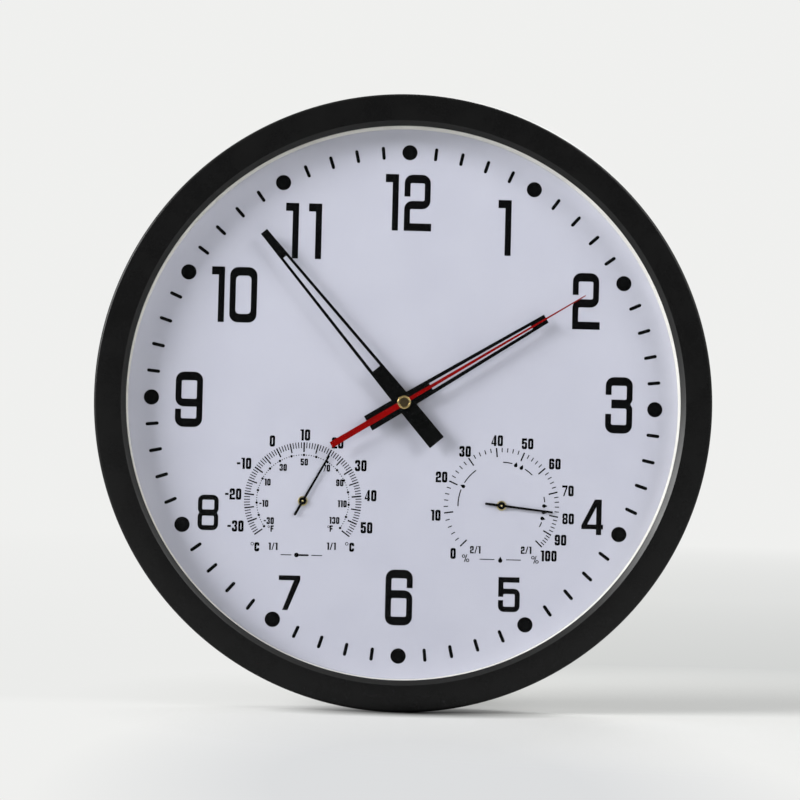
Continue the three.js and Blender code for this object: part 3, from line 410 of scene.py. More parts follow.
def plate(paths, front, back, bevel=0.0, steps=1):
    # a flat piece from front to back along Y; inner paths are holes
    outline = bpy.data.curves.new("outline", "CURVE")
    outline.dimensions = "2D"
    outline.fill_mode = "BOTH"
    for path in paths:
        spline = outline.splines.new("POLY")
        spline.points.add(len(path) - 1)
        for point, place in zip(spline.points, path):
            point.co = (place[0], place[1], 0, 1)
        spline.use_cyclic_u = True
    outline.extrude = (back - front) / 2 - bevel
    outline.bevel_depth = bevel
    outline.bevel_resolution = steps
    outline.offset = -bevel
    mesh = plainMesh(bpy.data.objects.new("outline", outline))
    bpy.data.curves.remove(outline)
    mesh.transform(Matrix.Scale(mm, 4) @ Matrix.Translation((0, (front + back) / 2, 0))
                   @ Matrix.Rotation(math.pi / 2, 4, "X"))
    bm = bmesh.new()
    bm.from_mesh(mesh)
    bmesh.ops.remove_doubles(bm, verts=bm.verts, dist=1e-7)
    bmesh.ops.recalc_face_normals(bm, faces=bm.faces)
    return meshFrom(bm, "plate")


def plainMesh(holder):
    # the finished mesh of an object with its modifiers; the object goes
    shownScene.collection.objects.link(holder)
    ready = holder.evaluated_get(bpy.context.evaluated_depsgraph_get())
    mesh = bpy.data.meshes.new_from_object(ready)
    bpy.data.objects.remove(holder)
    return mesh


def merged(*meshes):
    bm = bmesh.new()
    for mesh in meshes:
        bm.from_mesh(mesh)
    return meshFrom(bm, "merged")


def cutBy(mesh, tool):
    holder = bpy.data.objects.new("base", mesh)
    cutter = bpy.data.objects.new("cutter", tool)
    shownScene.collection.objects.link(cutter)
    cut = holder.modifiers.new("cut", "BOOLEAN")
    cut.operation = "DIFFERENCE"
    cut.solver = "EXACT"
    cut.object = cutter
    result = plainMesh(holder)
    bpy.data.objects.remove(cutter)
    return result


def turnedBy(mesh, angle, at=(0, 0)):
    # clockwise on the dial in degrees, then moved to its place
    mesh.transform(Matrix.Translation((at[0] * mm, 0, at[1] * mm))
                   @ Matrix.Rotation(math.radians(angle), 4, "Y"))
    return mesh


def ringTree():
    # copies of a template on a ring round an axis along Y, clockwise from 12 o'clock
    tree = bpy.data.node_groups.new("ringOfCopies", "GeometryNodeTree")
    for name, kind, way in (
            ("Template", "Geometry", "INPUT"), ("Count", "Int", "INPUT"),
            ("First", "Float", "INPUT"), ("Step", "Float", "INPUT"), ("Skip", "Int", "INPUT"),
            ("Radius", "Float", "INPUT"), ("Centre", "Vector", "INPUT"),
            ("Own turn", "Float", "INPUT"), ("Seed", "Int", "INPUT"),
            ("Finish", "Material", "INPUT"), ("Copies", "Geometry", "OUTPUT")):
        tree.interface.new_socket(name, in_out=way, socket_type="NodeSocket" + kind)

    def node(kind, settings=None, links=None, output=0):
        return addNode(tree, kind, settings, links, output)

    def maths(operation, *values):
        return node("ShaderNodeMath", {"operation": operation}, dict(enumerate(values)))

    given = tree.nodes.new("NodeGroupInput").outputs
    index = node("GeometryNodeInputIndex")
    angle = maths("RADIANS", maths("ADD", maths("MULTIPLY", index, given["Step"]), given["First"]))
    points = node("GeometryNodePoints", None, {"Count": given["Count"]})
    arm = node("ShaderNodeCombineXYZ", None,
               {"X": maths("SINE", angle), "Z": maths("COSINE", angle)})
    reach = node("ShaderNodeVectorMath", {"operation": "SCALE"},
                 {"Vector": arm, "Scale": given["Radius"]})
    place = node("ShaderNodeVectorMath", {"operation": "ADD"}, {0: reach, 1: given["Centre"]})
    points = node("GeometryNodeSetPosition", None, {"Geometry": points, "Position": place})
    jitter = node("FunctionNodeRandomValue", {"data_type": "FLOAT"},
                  {"Seed": given["Seed"]}, output=1)
    ownTurn = maths("RADIANS", maths("MULTIPLY", jitter, given["Own turn"]))
    turn = node("ShaderNodeCombineXYZ", None, {"Y": maths("ADD", angle, ownTurn)})
    skipped = maths("MODULO", index, maths("MAXIMUM", given["Skip"], 1))
    kept = maths("MAXIMUM", skipped, maths("LESS_THAN", given["Skip"], 0.5))
    copies = node("GeometryNodeInstanceOnPoints", None, {
        "Points": points, "Selection": kept, "Instance": given["Template"], "Rotation": turn})
    solid = node("GeometryNodeRealizeInstances", None, {"Geometry": copies})
    dressed = node("GeometryNodeSetMaterial", None,
                   {"Geometry": solid, "Material": given["Finish"]})
    node("NodeGroupOutput", None, {"Copies": dressed})
    return tree


ringOfCopies = ringTree()
flatAngle = 20      # keeps the flat of a bevelled plate apart from its bevel


def copiesOf(template, finish, count, step, radius, first=0.0, skip=0, centre=(0, 0),
             ownTurn=0.0, seed=1):
    # count places, step degrees apart; every skip-th one stays empty
    values = {"Count": count, "First": float(first), "Step": float(step), "Skip": skip,
              "Radius": radius * mm, "Centre": (centre[0] * mm, 0.0, centre[1] * mm),
              "Own turn": float(ownTurn), "Seed": seed, "Finish": finishes[finish]}
    holder = bpy.data.objects.new("template", template)
    modifier = holder.modifiers.new("copies", "NODES")
    modifier.node_group = ringOfCopies
    for item in ringOfCopies.interface.items_tree:
        if item.in_out == "INPUT" and item.name in values:
            modifier[item.identifier] = values[item.name]
    return plainMesh(holder)


def addPiece(name, mesh, finish, body, slotName, *nodes, angle=32):
    mesh.materials.clear()
    mesh.materials.append(finishes[finish])
    mesh.polygons.foreach_set("material_index", [0] * len(mesh.polygons))
    mesh.polygons.foreach_set("use_smooth", [True] * len(mesh.polygons))
    mesh.set_sharp_from_angle(angle=math.radians(angle))
    mesh.name = name
    piece = bpy.data.objects.new(name, mesh)
    shownScene.collection.objects.link(piece)
    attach(piece, body)
    if nodes:
        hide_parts(*nodes)
    return piece


caseFront, caseBack = levels("case_ring")
caseSizes = {
    "radius": 177.5, "inner": 175, "bezel": 15.4, "chamferWidth": 2.8, "chamferDepth": 2.4,
    "land": 0.6, "overlap": 4.8, "pocketWall": 2.2, "edge": 1.6, "seam": 0.25,
    "bossRadius": 3.6, "bossGap": 2.35, "boreRadius": 1.8, "boreDepth": 11.1,
}
screws = {
    "count": 6, "step": 60, "circle": 170.65, "headRadius": 3, "headHeight": 1.8, "dome": 0.9,
    "shankRadius": 1.5, "tipRadius": 0.4, "tipLength": 1.6, "slotWidth": 0.9, "slotDepth": 0.8,
}


def roundTheScrews(mesh, finish, **extra):
    return copiesOf(mesh, finish, screws["count"], screws["step"], screws["circle"], **extra)


def caseRing():
    s = caseSizes
    lip = s["radius"] - s["bezel"] - s["chamferWidth"]
    pocket = lip + s["overlap"]
    wall = pocket + s["pocketWall"]
    chamfer = caseFront + s["chamferDepth"]
    seat = chamfer + s["land"]
    dialBack = levels("dial")[1]
    ring = lathe([
        (lip, chamfer, 0.25), (lip + s["chamferWidth"], caseFront, 0.3),
        (s["radius"], caseFront, s["edge"]), (s["radius"], caseBack, 0.5),
        (s["inner"], caseBack, s["seam"]), (s["inner"], seat, 0.4), (wall, seat, 0.4),
        (wall, dialBack, s["seam"]), (pocket, dialBack, s["seam"]), (pocket, seat, 0),
        (lip, seat, 0.12)], steps=288)
    bossBack = levels("rear_cover")[1] - s["bossGap"]
    floor = bossBack - s["boreDepth"]
    root = seat - 1
    boss = lathe([(0, root), (s["bossRadius"], root), (s["bossRadius"], bossBack, 0.3),
                  (s["boreRadius"], bossBack, 0.2), (s["boreRadius"], floor), (0, floor)], steps=36)
    return merged(ring, roundTheScrews(boss, "caseBlack"))


shell = addPiece("case_shell", caseRing(), "caseBlack", "case", "case_black", "case_ring")
shell.data.materials.append(finishes["chamferBlack"])
for face in shell.data.polygons:
    outwards = Vector((face.center.x, 0, face.center.z)).normalized()
    if face.normal.dot(outwards) < -0.3 and face.normal.y < -0.3:
        face.material_index = 1      # the chamfer is polished, the bezel is satin

lensRadius = 163.8
glassDisc = band(0, lensRadius, *levels("lens"), 0.3, 0.3, steps=256)
addPiece("lens_disc", glassDisc, "lensGlass", "case", "lens_glass", "lens")

spacerSizes = {"inner": 159.35, "taper": 0.1, "outer": 163.4, "flange": 1.6, "wall": 1.8,
               "play": (0.35, -0.2)}      # it sits a hair off the case's axis


def spacerRing():
    s = spacerSizes
    front, back = levels("spacer_ring")
    flange = front + s["flange"]
    wall = s["inner"] + s["wall"]
    return lathe([(s["inner"], front, 0.3), (s["outer"], front, 0.2), (s["outer"], flange, 0.2),
                  (wall, flange, 0.4), (wall, back, 0.2), (s["inner"] - s["taper"], back, 0.15)],
                 s["play"], steps=288)


addPiece("spacer_band", spacerRing(), "spacerCream", "case", "spacer_cream", "spacer_ring")
print("case, glass and spacer made")

coverSizes = {
    "radius": 174.7, "thickness": 2.2, "bevel": 0.25, "window": 60, "windowCorner": 4,
    "holeRadius": 1.8, "recessRadius": 3.3, "recessDepth": 1,
    "ventCount": 5, "ventLength": 30, "ventWidth": 3, "ventPitch": 7,
    "hookSeat": 120, "headRadius": 5, "slotWidth": 5, "drop": 12,
    "padWidth": 20, "padRound": 5, "padThickness": 1.8, "ribOuter": 162.8, "ribWall": 2.4,
    "lip": 1.4, "lipHeight": 0.6, "ringRadius": 158, "ringWidth": 3,
}


def keyholePath():
    s = coverSizes
    slotRadius = s["slotWidth"] / 2
    slotCentre = s["hookSeat"] - slotRadius
    meet = math.asin(slotRadius / s["headRadius"])
    head = arc(s["headRadius"], meet, 2 * math.pi - meet, 48, (0, slotCentre - s["drop"]))
    return head + arc(slotRadius, -math.pi / 2, math.pi / 2, 16, (0, slotCentre))


def ventPaths():
    s = coverSizes
    end = s["ventWidth"] / 2 - 0.01      # round ends, a hair short of a full half circle
    places = [middle(collar) for collar in ("thermometer_collar", "hygrometer_collar")]
    rows = [(row - (s["ventCount"] - 1) / 2) * s["ventPitch"] for row in range(s["ventCount"])]
    return [boxPath(s["ventLength"], s["ventWidth"], end, (x, z + row))
            for x, z in places for row in rows]


def rearCover():
    s = coverSizes
    ribFront, back = levels("rear_cover")
    front = back - s["thickness"]
    ribBack = front + s["thickness"] / 2
    window = boxPath(s["window"], s["window"], s["windowCorner"])
    screwPlaces = [rim(math.radians(screws["step"] * i), screws["circle"])
                   for i in range(screws["count"])]
    holes = [window, keyholePath()] + [roundPath(s["holeRadius"], at, 24) for at in screwPlaces]
    outline = roundPath(s["radius"], steps=256)
    panel = plate([outline] + holes + ventPaths(), front, back, s["bevel"])
    recess = band(0, s["recessRadius"], back - s["recessDepth"], back + 1, steps=40)
    panel = cutBy(panel, roundTheScrews(recess, "coverBlack"))
    rib = band(s["ribOuter"] - s["ribWall"], s["ribOuter"], ribFront, ribBack, 0.3, steps=256)
    padPath = boxPath(s["padWidth"], s["padWidth"] + s["drop"], s["padRound"],
                      (0, s["hookSeat"] - s["drop"] / 2))
    pad = plate([padPath, keyholePath()], front - s["padThickness"], ribBack, s["bevel"])
    root, top = back - s["bevel"], back + s["lipHeight"]
    grown = s["window"] + 2 * s["lip"]
    windowLip = plate([boxPath(grown, grown, s["windowCorner"] + s["lip"]), window],
                      root, top, 0.15)
    ring = band(s["ringRadius"] - s["ringWidth"], s["ringRadius"], root, top, 0, 0.25, steps=256)
    return merged(panel, rib, pad, windowLip, ring)


addPiece("cover_panel", rearCover(), "coverBlack", "case", "cover_black", "rear_cover",
         angle=flatAngle)


def screwMesh():
    s = screws
    front, back = levels("cover_screw_1")
    headFront = back - s["headHeight"]
    body = lathe([(0, front), (s["tipRadius"], front),
                  (s["shankRadius"], front + s["tipLength"], 0.3), (s["shankRadius"], headFront),
                  (s["headRadius"], headFront, 0.15), (s["headRadius"], back, s["dome"]),
                  (0, back)], steps=40)
    slot = plate([boxPath(2 * s["headRadius"] + 1, s["slotWidth"], 0.01)],
                 back - s["slotDepth"], back + 1)
    return cutBy(body, slot)


addPiece("cover_screws", roundTheScrews(screwMesh(), "screwSteel", ownTurn=170, seed=4),
         "screwSteel", "case", "screw_steel",
         *[f"cover_screw_{i + 1}" for i in range(screws["count"])])
print("rear cover and screws made")

# what shows in the window of the rear cover
lidSizes = {
    "width": 56, "corner": 3, "bay": (53.2, 14.6), "bayPlace": -19.3, "rear": 1.4, "bevel": 0.3,
    "knobHole": 1.6, "mark": 0.25, "sunk": 0.05, "frameInset": 3, "frameLine": 0.6,
    "collarInner": 4.7, "collarWall": 0.8, "collarHeight": 1,
    "arrowRadius": 7.6, "arrowWidth": 0.8, "arrowHead": 2.6,
    "signSize": 2.6, "signWidth": 0.7, "signInset": 4, "signHeight": 5.6,
}


def arrowPath(end, at):
    # a bent arrow from 30 degrees off the top to its head at the end
    s = lidSizes
    radius, half = s["arrowRadius"], s["arrowHead"] / 2
    last = math.radians(end)
    onwards = last + math.copysign(s["arrowHead"] / radius, end)
    head = [rim(last, radius + half), rim(onwards, radius), rim(last, radius - half)]
    bar = bentBar(radius, s["arrowWidth"], math.copysign(30, end), end, 16, head)
    return [point + Vector(at) for point in bar]


def crossPath(size, width, at):
    # a plus sign
    x, z = at
    a, b = size / 2, width / 2
    corners = ((-b, -a), (b, -a), (b, -b), (a, -b), (a, b), (b, b),
               (b, a), (-b, a), (-b, b), (-a, b), (-a, -b), (-b, -b))
    return [(x + dx, z + dz) for dx, dz in corners]


def movementLid():
    s = lidSizes
    front, back = levels("movement_lid")
    knobPlace = middle("setting_knob")
    outline = boxPath(s["width"], s["width"], s["corner"])
    bay = boxPath(*s["bay"], 0.8, (0, s["bayPlace"]))
    knobHole = roundPath(s["knobHole"], knobPlace, 32)
    rear = plate([outline, bay, knobHole], back - s["rear"], back, s["bevel"], 2)
    hollow = boxPath(s["bay"][0], s["bay"][0], 1)
    walls = plate([outline, hollow], front, back - s["rear"] / 2, 0.1)
    bayTop = s["bayPlace"] + s["bay"][1] / 2
    high = s["width"] / 2
    wide, tall = s["width"] - 2 * s["frameInset"], high - bayTop - 2 * s["frameInset"]
    heart, line = (0, (bayTop + high) / 2), 2 * s["frameLine"]
    signX, signZ = wide / 2 - s["signInset"], bayTop + s["signHeight"]
    marks = [boxPath(wide, tall, 2, heart), boxPath(wide - line, tall - line, 1.4, heart),
             arrowPath(120, knobPlace), arrowPath(-120, knobPlace),
             crossPath(s["signSize"], s["signWidth"], (signX, signZ)),
             boxPath(s["signSize"], s["signWidth"], 0.2, (-signX, signZ))]
    root = back - s["sunk"]
    raised = plate(marks, root, back + s["mark"], 0.06)
    collar = band(s["collarInner"], s["collarInner"] + s["collarWall"], root,
                  back + s["collarHeight"], 0, 0.2, knobPlace, 64)
    return merged(rear, walls, raised, collar)


addPiece("movement_lid_shell", movementLid(), "movementBlack", "case", "movement_plastic",
         "movement_lid", angle=flatAngle)

knobSizes = {"radius": 4, "flutes": 12, "fluteDepth": 0.6, "bevel": 0.3,
             "dimple": 2.2, "dimpleDepth": 0.35, "dimpleSlope": 0.3}


def settingKnob():
    s = knobSizes
    front, back = levels("setting_knob")
    x, z = middle("setting_knob")
    outline = []
    for step in range(240):
        turn = 2 * math.pi * step / 240
        radius = s["radius"] - s["fluteDepth"] * max(0, math.cos(turn * s["flutes"])) ** 2
        outline.append((x + radius * math.cos(turn), z + radius * math.sin(turn)))
    body = plate([outline], front, back, s["bevel"], 2)
    low, top = back - s["dimpleDepth"], back + 0.1
    dimple = lathe([(0, low), (s["dimple"] - s["dimpleSlope"], low), (s["dimple"], top),
                    (0, top)], (x, z), steps=48)
    return cutBy(body, dimple)


addPiece("setting_knob_cap", settingKnob(), "knobGrey", "setting_wheel", "movement_plastic",
         "setting_knob")

cellSizes = {"radius": 7, "nub": 2.75, "nubLength": 1, "ring": 5.7, "crimp": 0.5,
             "bandFrom": 8.5, "bandTo": 21, "sign": 2.1, "signWidth": 0.45, "blur": 0.05}
cellLow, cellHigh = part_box("battery")
cellMiddle = (cellLow + cellHigh) / 2


def cellFinish():
    # printed sleeve: deep green, a pale band towards the positive end and a plus sign on it
    finish = Finish("batterySleeve")
    s = cellSizes
    x, _, z = finish.axes((0, cellMiddle.y / mm, cellMiddle.z / mm))
    along = finish.math("ABSOLUTE", x - (s["bandFrom"] + s["bandTo"]) / 2 * mm)
    across = finish.math("ABSOLUTE", z)

    def within(value, limit):
        return finish.between(value, limit * mm, (limit + s["blur"]) * mm, 1, 0)

    paleBand = within(along, (s["bandTo"] - s["bandFrom"]) / 2)
    upright = within(across, s["sign"]) * within(along, s["signWidth"])
    level = within(along, s["sign"]) * within(across, s["signWidth"])
    plus = finish.math("MAXIMUM", upright, level)
    scuff = finish.noise(5, finish.place(stretch=(0.2, 1, 1)), detail=5, roughness=0.65, seed=23)
    tone = finish.fade(scuff, 0.4, 0.7, (0.012, 0.085, 0.045), (0.02, 0.105, 0.06))
    tone = finish.mix(paleBand, tone, (0.55, 0.56, 0.50))
    tone = finish.mix(paleBand * plus, tone, (0.012, 0.085, 0.045))
    rough = finish.between(scuff, 0.35, 0.75, 0.22, 0.42)
    return finish.surface(tone, rough, scuff, 0.02)


finishes["batterySleeve"] = cellFinish()


def batteryCell():
    s = cellSizes
    negative, positive = cellLow.x / mm, cellHigh.x / mm
    shoulder = positive - s["nubLength"]
    ring, radius = s["ring"], s["radius"]
    cell = lathe([
        (0, negative), (ring - 1.2, negative, 0.15), (ring - 0.9, negative + 0.35, 0.1),
        (ring, negative + 0.35, 0.05), (ring + 0.1, negative + 0.1, 0.1),
        (radius, negative + 0.15, 0.6), (radius, shoulder - 0.1, 0.8),
        (ring + 0.1, shoulder, 0.2), (ring, shoulder - s["crimp"], 0.1),
        (s["nub"] + 0.4, shoulder - 0.3, 0.2), (s["nub"], positive, 0.45), (0, positive)], steps=96)
    cell.transform(Matrix.Translation((0, cellMiddle.y, cellMiddle.z))
                   @ Matrix.Rotation(-math.pi / 2, 4, "Z"))
    return cell


cell = addPiece("battery_cell", batteryCell(), "batterySleeve", "battery", "battery_sleeve",
                "battery")
cell.data.materials.append(finishes["contactSteel"])
for face in cell.data.polygons:
    off = face.center - cellMiddle
    if math.hypot(off.y, off.z) < (cellSizes["ring"] + 0.05) * mm:
        face.material_index = 1      # bare steel ends
print("movement lid, knob and battery made")

figureStyles = {        # widths of the strokes, then the roundings outside and inside
    "large": (3.45, 5.0, 4.9, 0.9), "small": (2.95, 3.1, 3.4, 0.65),
    "scale": (1.28, 1.4, 1.05, 0.22), "fine": (0.88, 0.9, 0.65, 0.1),
}
signGap = 0.085      # as a share of the height
narrowSigns = {"1": 0.66, "-": 0.66, "/": 0.85}      # as a share of the usual width


def signShape(sign, w, h, v, t, ro, ri):
    # outlines of a sign in a box of w by h; v and t are its upright and level strokes,
    # ro and ri the roundings outside and inside
    inside, top = w - v, h - t
    stem, foot, bar, beam = min(v * 1.04, w), t * 0.9, h - t * 0.9, h * 0.6 - t
    right = w * 0.92
    left = right - v * 1.05

    def waist(level, cut, side, way):
        # the notch in the side of a 3 or an 8, cut towards the middle
        ends = [(side, level + cut * 1.9 * end, cut) for end in (way, -way)]
        return [ends[0], (side + (-cut if side else cut), level), ends[1]]

    six = [[(0, 0, ro), (0, h, ro), (w, h, ro), (w, h * 0.673), (inside, h * 0.673),
            (inside, top, ri), (v, top, ri), (v, h * 0.632), (w, h * 0.632, ro), (w, 0, ro)],
           boxed(v, t, inside, h * 0.488, ri)]
    side, thin = v * 0.86, t * 0.94
    shapes = {
        "0": [boxed(0, 0, w, h, ro), boxed(v, t, inside, top, min(ri * 2.6, w / 2 - v - 0.01))],
        "1": [[(0, h), (w, h), (w, 0), (w - stem, 0), (w - stem, h * 0.854), (0, h * 0.854)]],
        "2": [[(0, h * 0.608), (0, h, ro), (w, h, ro), (w, h * 0.389, ro), (v, h * 0.389, ri),
               (v, foot), (w * 1.05, foot), (w * 1.05, 0), (0, 0), (0, h * 0.535, ro),
               (inside, h * 0.535, ri), (inside, top, ri), (v, top, ri), (v, h * 0.608)]],
        "3": [[(0, h * 0.682), (0, h, ro), (w, h, ro), *waist(h * 0.5225, v * 0.35, w, 1),
               (w, 0, ro), (0, 0, ro), (0, h * 0.345), (v, h * 0.345), (v, t, ri),
               (inside, t, ri), (inside, h * 0.444, ri), (v, h * 0.444), (v, h * 0.601),
               (inside, h * 0.601, ri), (inside, top, ri), (v, top, ri), (v, h * 0.682)]],
        "4": [[(left, 0), (right, 0), (right, h * 0.159), (w, h * 0.159), (w, h * 0.294),
               (right, h * 0.294), (right, h), (w * 0.6, h), (0, h * 0.27), (0, h * 0.159),
               (left, h * 0.159)], [(left, h * 0.294), (left, h * 0.785), (w * 0.27, h * 0.294)]],
        "5": [[(0, h), (w * 0.97, h), (w * 0.97, top), (v, top), (v, h * 0.671),
               (w, h * 0.671, ro), (w, 0, ro), (0, 0, ro), (0, h * 0.338), (v, h * 0.338),
               (v, t, ri), (inside, t, ri), (inside, h * 0.514, ri), (v, h * 0.514, ri),
               (v, h * 0.433), (0, h * 0.433)]],
        "6": six,
        "7": [[(0, h), (w, h), (w, bar), (w * 0.44, 0), (w * 0.19, 0), (w * 0.71, bar), (0, bar)]],
        "8": [[(0, 0, ro), (w, 0, ro), *waist(h * 0.4955, v * 0.3, w, -1), (w, h, ro),
               (0, h, ro), *waist(h * 0.4955, v * 0.3, 0, 1)],
              boxed(side, thin, w - side, h * 0.406, ri),
              boxed(side, h * 0.585, w - side, h - thin, ri)],
        "9": [[(w - x, h - z, *rest) for x, z, *rest in path] for path in six],
        "C": [[(0, 0, ro), (0, h, ro), (w, h, ro), (w, h * 0.62), (inside, h * 0.62),
               (inside, top, ri), (v, top, ri), (v, t, ri), (inside, t, ri),
               (inside, h * 0.38), (w, h * 0.38), (w, 0, ro)]],
        "F": [[(0, 0), (0, h), (w, h), (w, top), (v, top), (v, h * 0.6), (w * 0.9, h * 0.6),
               (w * 0.9, beam), (v, beam), (v, 0)]],
        "-": [boxed(0, h * 0.4, w, h * 0.4 + t * 0.85)],
        "/": [[(0, 0), (v * 0.8, 0), (w, h), (w - v * 0.8, h)]],
    }
    return shapes[sign]


def figure(sign, style, left, low, right, high):
    # one sign, filling its box
    stem, bar, outer, inner = figureStyles[style]
    w, h = right - left, high - low
    stem = min(stem, w * (0.72 if sign == "1" else 0.43))
    paths = signShape(sign, w, h, stem, bar, min(outer, w * 0.48), inner)
    return [softened([(left + x, low + z, *rest) for x, z, *rest in path]) for path in paths]


def labels(rows):
    # texts centred on their points, with signs of one width; a 1 is narrower
    paths = []
    for style, height, width, texts in rows:
        for text, x, z in texts:
            widths = [width * narrowSigns.get(sign, 1) for sign in text]
            gap = height * signGap
            left, low = x - (sum(widths) + gap * (len(text) - 1)) / 2, z - height / 2
            for sign, wide in zip(text, widths):
                paths += figure(sign, style, left, low, left + wide, low + height)
                left += wide + gap
    return paths


dialFront = levels("dial")[0]
ink = {"proud": 0.04, "sunk": 0.01}
printCentre = (0.32, -0.31)      # the print sits a hair off the axis of the hands


def printed(paths):
    return plate(paths, dialFront - ink["proud"], dialFront + ink["sunk"])


def addPrint(name, mesh):
    addPiece(name, mesh, "dialInk", "case", "dial_white")


hourFigures = {     # sign, left, low, right, high
    "large": [
        ("1", -13.33, 99.95, -5.67, 132.85), ("2", -2.3, 99.95, 12.9, 132.85),
        ("1", 52.6, 87.0, 60.25, 119.5), ("2", 96.95, 45.3, 112.3, 78.2),
        ("3", 117.35, -14.7, 133.1, 18.05), ("6", -7.9, -128.6, 7.8, -96.5),
        ("9", -131.8, -17.1, -116.1, 14.9), ("1", -112.65, 44.1, -105.1, 76.3),
        ("0", -102.1, 44.1, -86.3, 76.3), ("1", -70.8, 82.1, -63.2, 114.4),
        ("1", -57.5, 82.1, -49.85, 114.4)],
    "small": [
        ("4", 104.8, -73.85, 117.45, -53.3), ("5", 57.4, -119.5, 69.95, -99.4),
        ("7", -69.55, -121.2, -57.15, -101.25), ("8", -117.15, -76.3, -105.25, -55.85)],
}
addPrint("hour_figures", printed([
    path for style, rows in hourFigures.items() for sign, *box in rows
    for path in figure(sign, style, *box)]))

minuteTrack = {"radius": 145.9, "dotRadius": 4.42, "tickWidth": 1.95, "tickLength": 7.6}


def minuteMarks():
    s = minuteTrack
    dot = printed([roundPath(s["dotRadius"], steps=48)])
    stroke = printed([boxPath(s["tickWidth"], s["tickLength"], s["tickWidth"] / 2 - 0.01)])
    return merged(copiesOf(dot, "dialInk", 12, 30, s["radius"], centre=printCentre),
                  copiesOf(stroke, "dialInk", 60, 6, s["radius"], skip=5, centre=printCentre))


addPrint("minute_track", minuteMarks())

arcSigns = {     # each arc's first and last turn, and how many drops stand in it
    "arc": 25.2, "thickness": 0.62, "drop": 3.1, "spacing": 3.7, "clear": 2.175,
    "arcs": [(-92, -37, 1), (1, 44, 2), (77, 118, 3)],
}
ruleSign = {"height": -31.2, "width": 24, "rule": 0.5, "length": 8.4, "bulb": 1.35, "stem": 0.5,
            "clear": 1.5, "drop": 3.6}
dropSizes = {"radius": 0.34, "middle": 0.16}     # shares of the drop's height


def dropPath(at, height, turn=0.0):
    # a pointed drop, its tip turned outwards
    radius, low = height * dropSizes["radius"], height * dropSizes["middle"]
    tip = height - radius
    meet = math.acos(radius / tip)
    path = [Vector((0, tip))] + arc(radius, meet, 2 * math.pi - meet, 20)
    lean = Matrix.Rotation(-turn, 2)
    return [Vector(at) + lean @ (point - Vector((0, low))) for point in path]


def arcSignPaths():
    s = arcSigns
    paths = []
    step, gap = (math.degrees(s[key] / s["arc"]) for key in ("spacing", "clear"))
    for start, end, drops in s["arcs"]:
        heart = (start + end) / 2
        turns = [heart + (i - (drops - 1) / 2) * step for i in range(drops)]
        for turn in map(math.radians, turns):
            paths.append(dropPath(rim(turn, s["arc"]), s["drop"], turn))
        paths.append(bentBar(s["arc"], s["thickness"], start, turns[0] - gap, 24))
        paths.append(bentBar(s["arc"], s["thickness"], turns[-1] + gap, end, 24))
    return paths


def bulbPath():
    # a lying thermometer: a round bulb on the left, its stem to the right
    s = ruleSign
    bulb, stem, reach = s["bulb"], s["stem"], s["length"] / 2
    meet = math.asin(stem / bulb)
    head = arc(bulb, math.pi / 2 - meet, meet - 3 * math.pi / 2, 28, (bulb - reach, s["height"]))
    return head + arc(stem, math.pi, 0, 8, (reach - stem, s["height"]))


def rulePaths(middleGap):
    s = ruleSign
    reach, heart = (s["width"] - middleGap) / 2, (s["width"] + middleGap) / 4
    return [boxPath(reach, s["rule"], s["rule"] / 2 - 0.01, (side * heart, s["height"]))
            for side in (-1, 1)]


thermometerScale = {
    "outer": 33.9, "perDegree": 2.8, "top": 10,
    "ticks": [      # inner end, width, count, first degree, degrees apart, left out
        (28.3, 0.86, 9, -30, 10, 0), (28.3, 0.76, 10, -35, 10, 0), (30.5, 0.54, 91, -35, 1, 5)],
    "fahrenheitRing": 26.6, "coldest": -30,
    "dots": [       # radius, corners, count, degrees apart, left out
        (0.74, 16, 17, 10, 0), (0.34, 8, 81, 2, 5)],
    "labels": [     # style, height, width, then each text and its place
        ("scale", 6.5, 3.1, [
            ("50", 37.2, -14.6), ("40", 39.1, 4.0), ("30", 33.0, 21.2), ("20", 19.3, 34.0),
            ("10", 0.5, 38.15), ("0", -18.4, 34.2), ("-10", -34.4, 20.9), ("-20", -40.2, 3.1),
            ("-30", -38.4, -15.3)]),
        ("fine", 4.0, 1.95, [
            ("50", 0.3, 22.5), ("30", -11.8, 19.1), ("10", -20.6, 10.4), ("-10", -22.4, -1.9),
            ("-30", -19.3, -11.8), ("70", 13.2, 19.3), ("90", 21.1, 11.0), ("110", 22.8, -1.1),
            ("130", 18.5, -10.8)]),
        ("scale", 5.3, 2.85, [("C", -25.8, -27.0), ("C", 28.9, -26.0)]),
        ("fine", 3.7, 1.8, [("F", -17.3, -16.3), ("F", 16.8, -15.5)]),
        ("fine", 4.2, 2.1, [("1/1", -16.5, -26.5), ("1/1", 17.1, -25.7)])],
    "rings": [      # radius and line of each degree ring, and its place
        (0.98, 0.36, (-28.45, -25.3)), (0.98, 0.36, (26.0, -24.1)),
        (0.68, 0.28, (-19.2, -15.3)), (0.68, 0.28, (15.2, -14.5))],
}
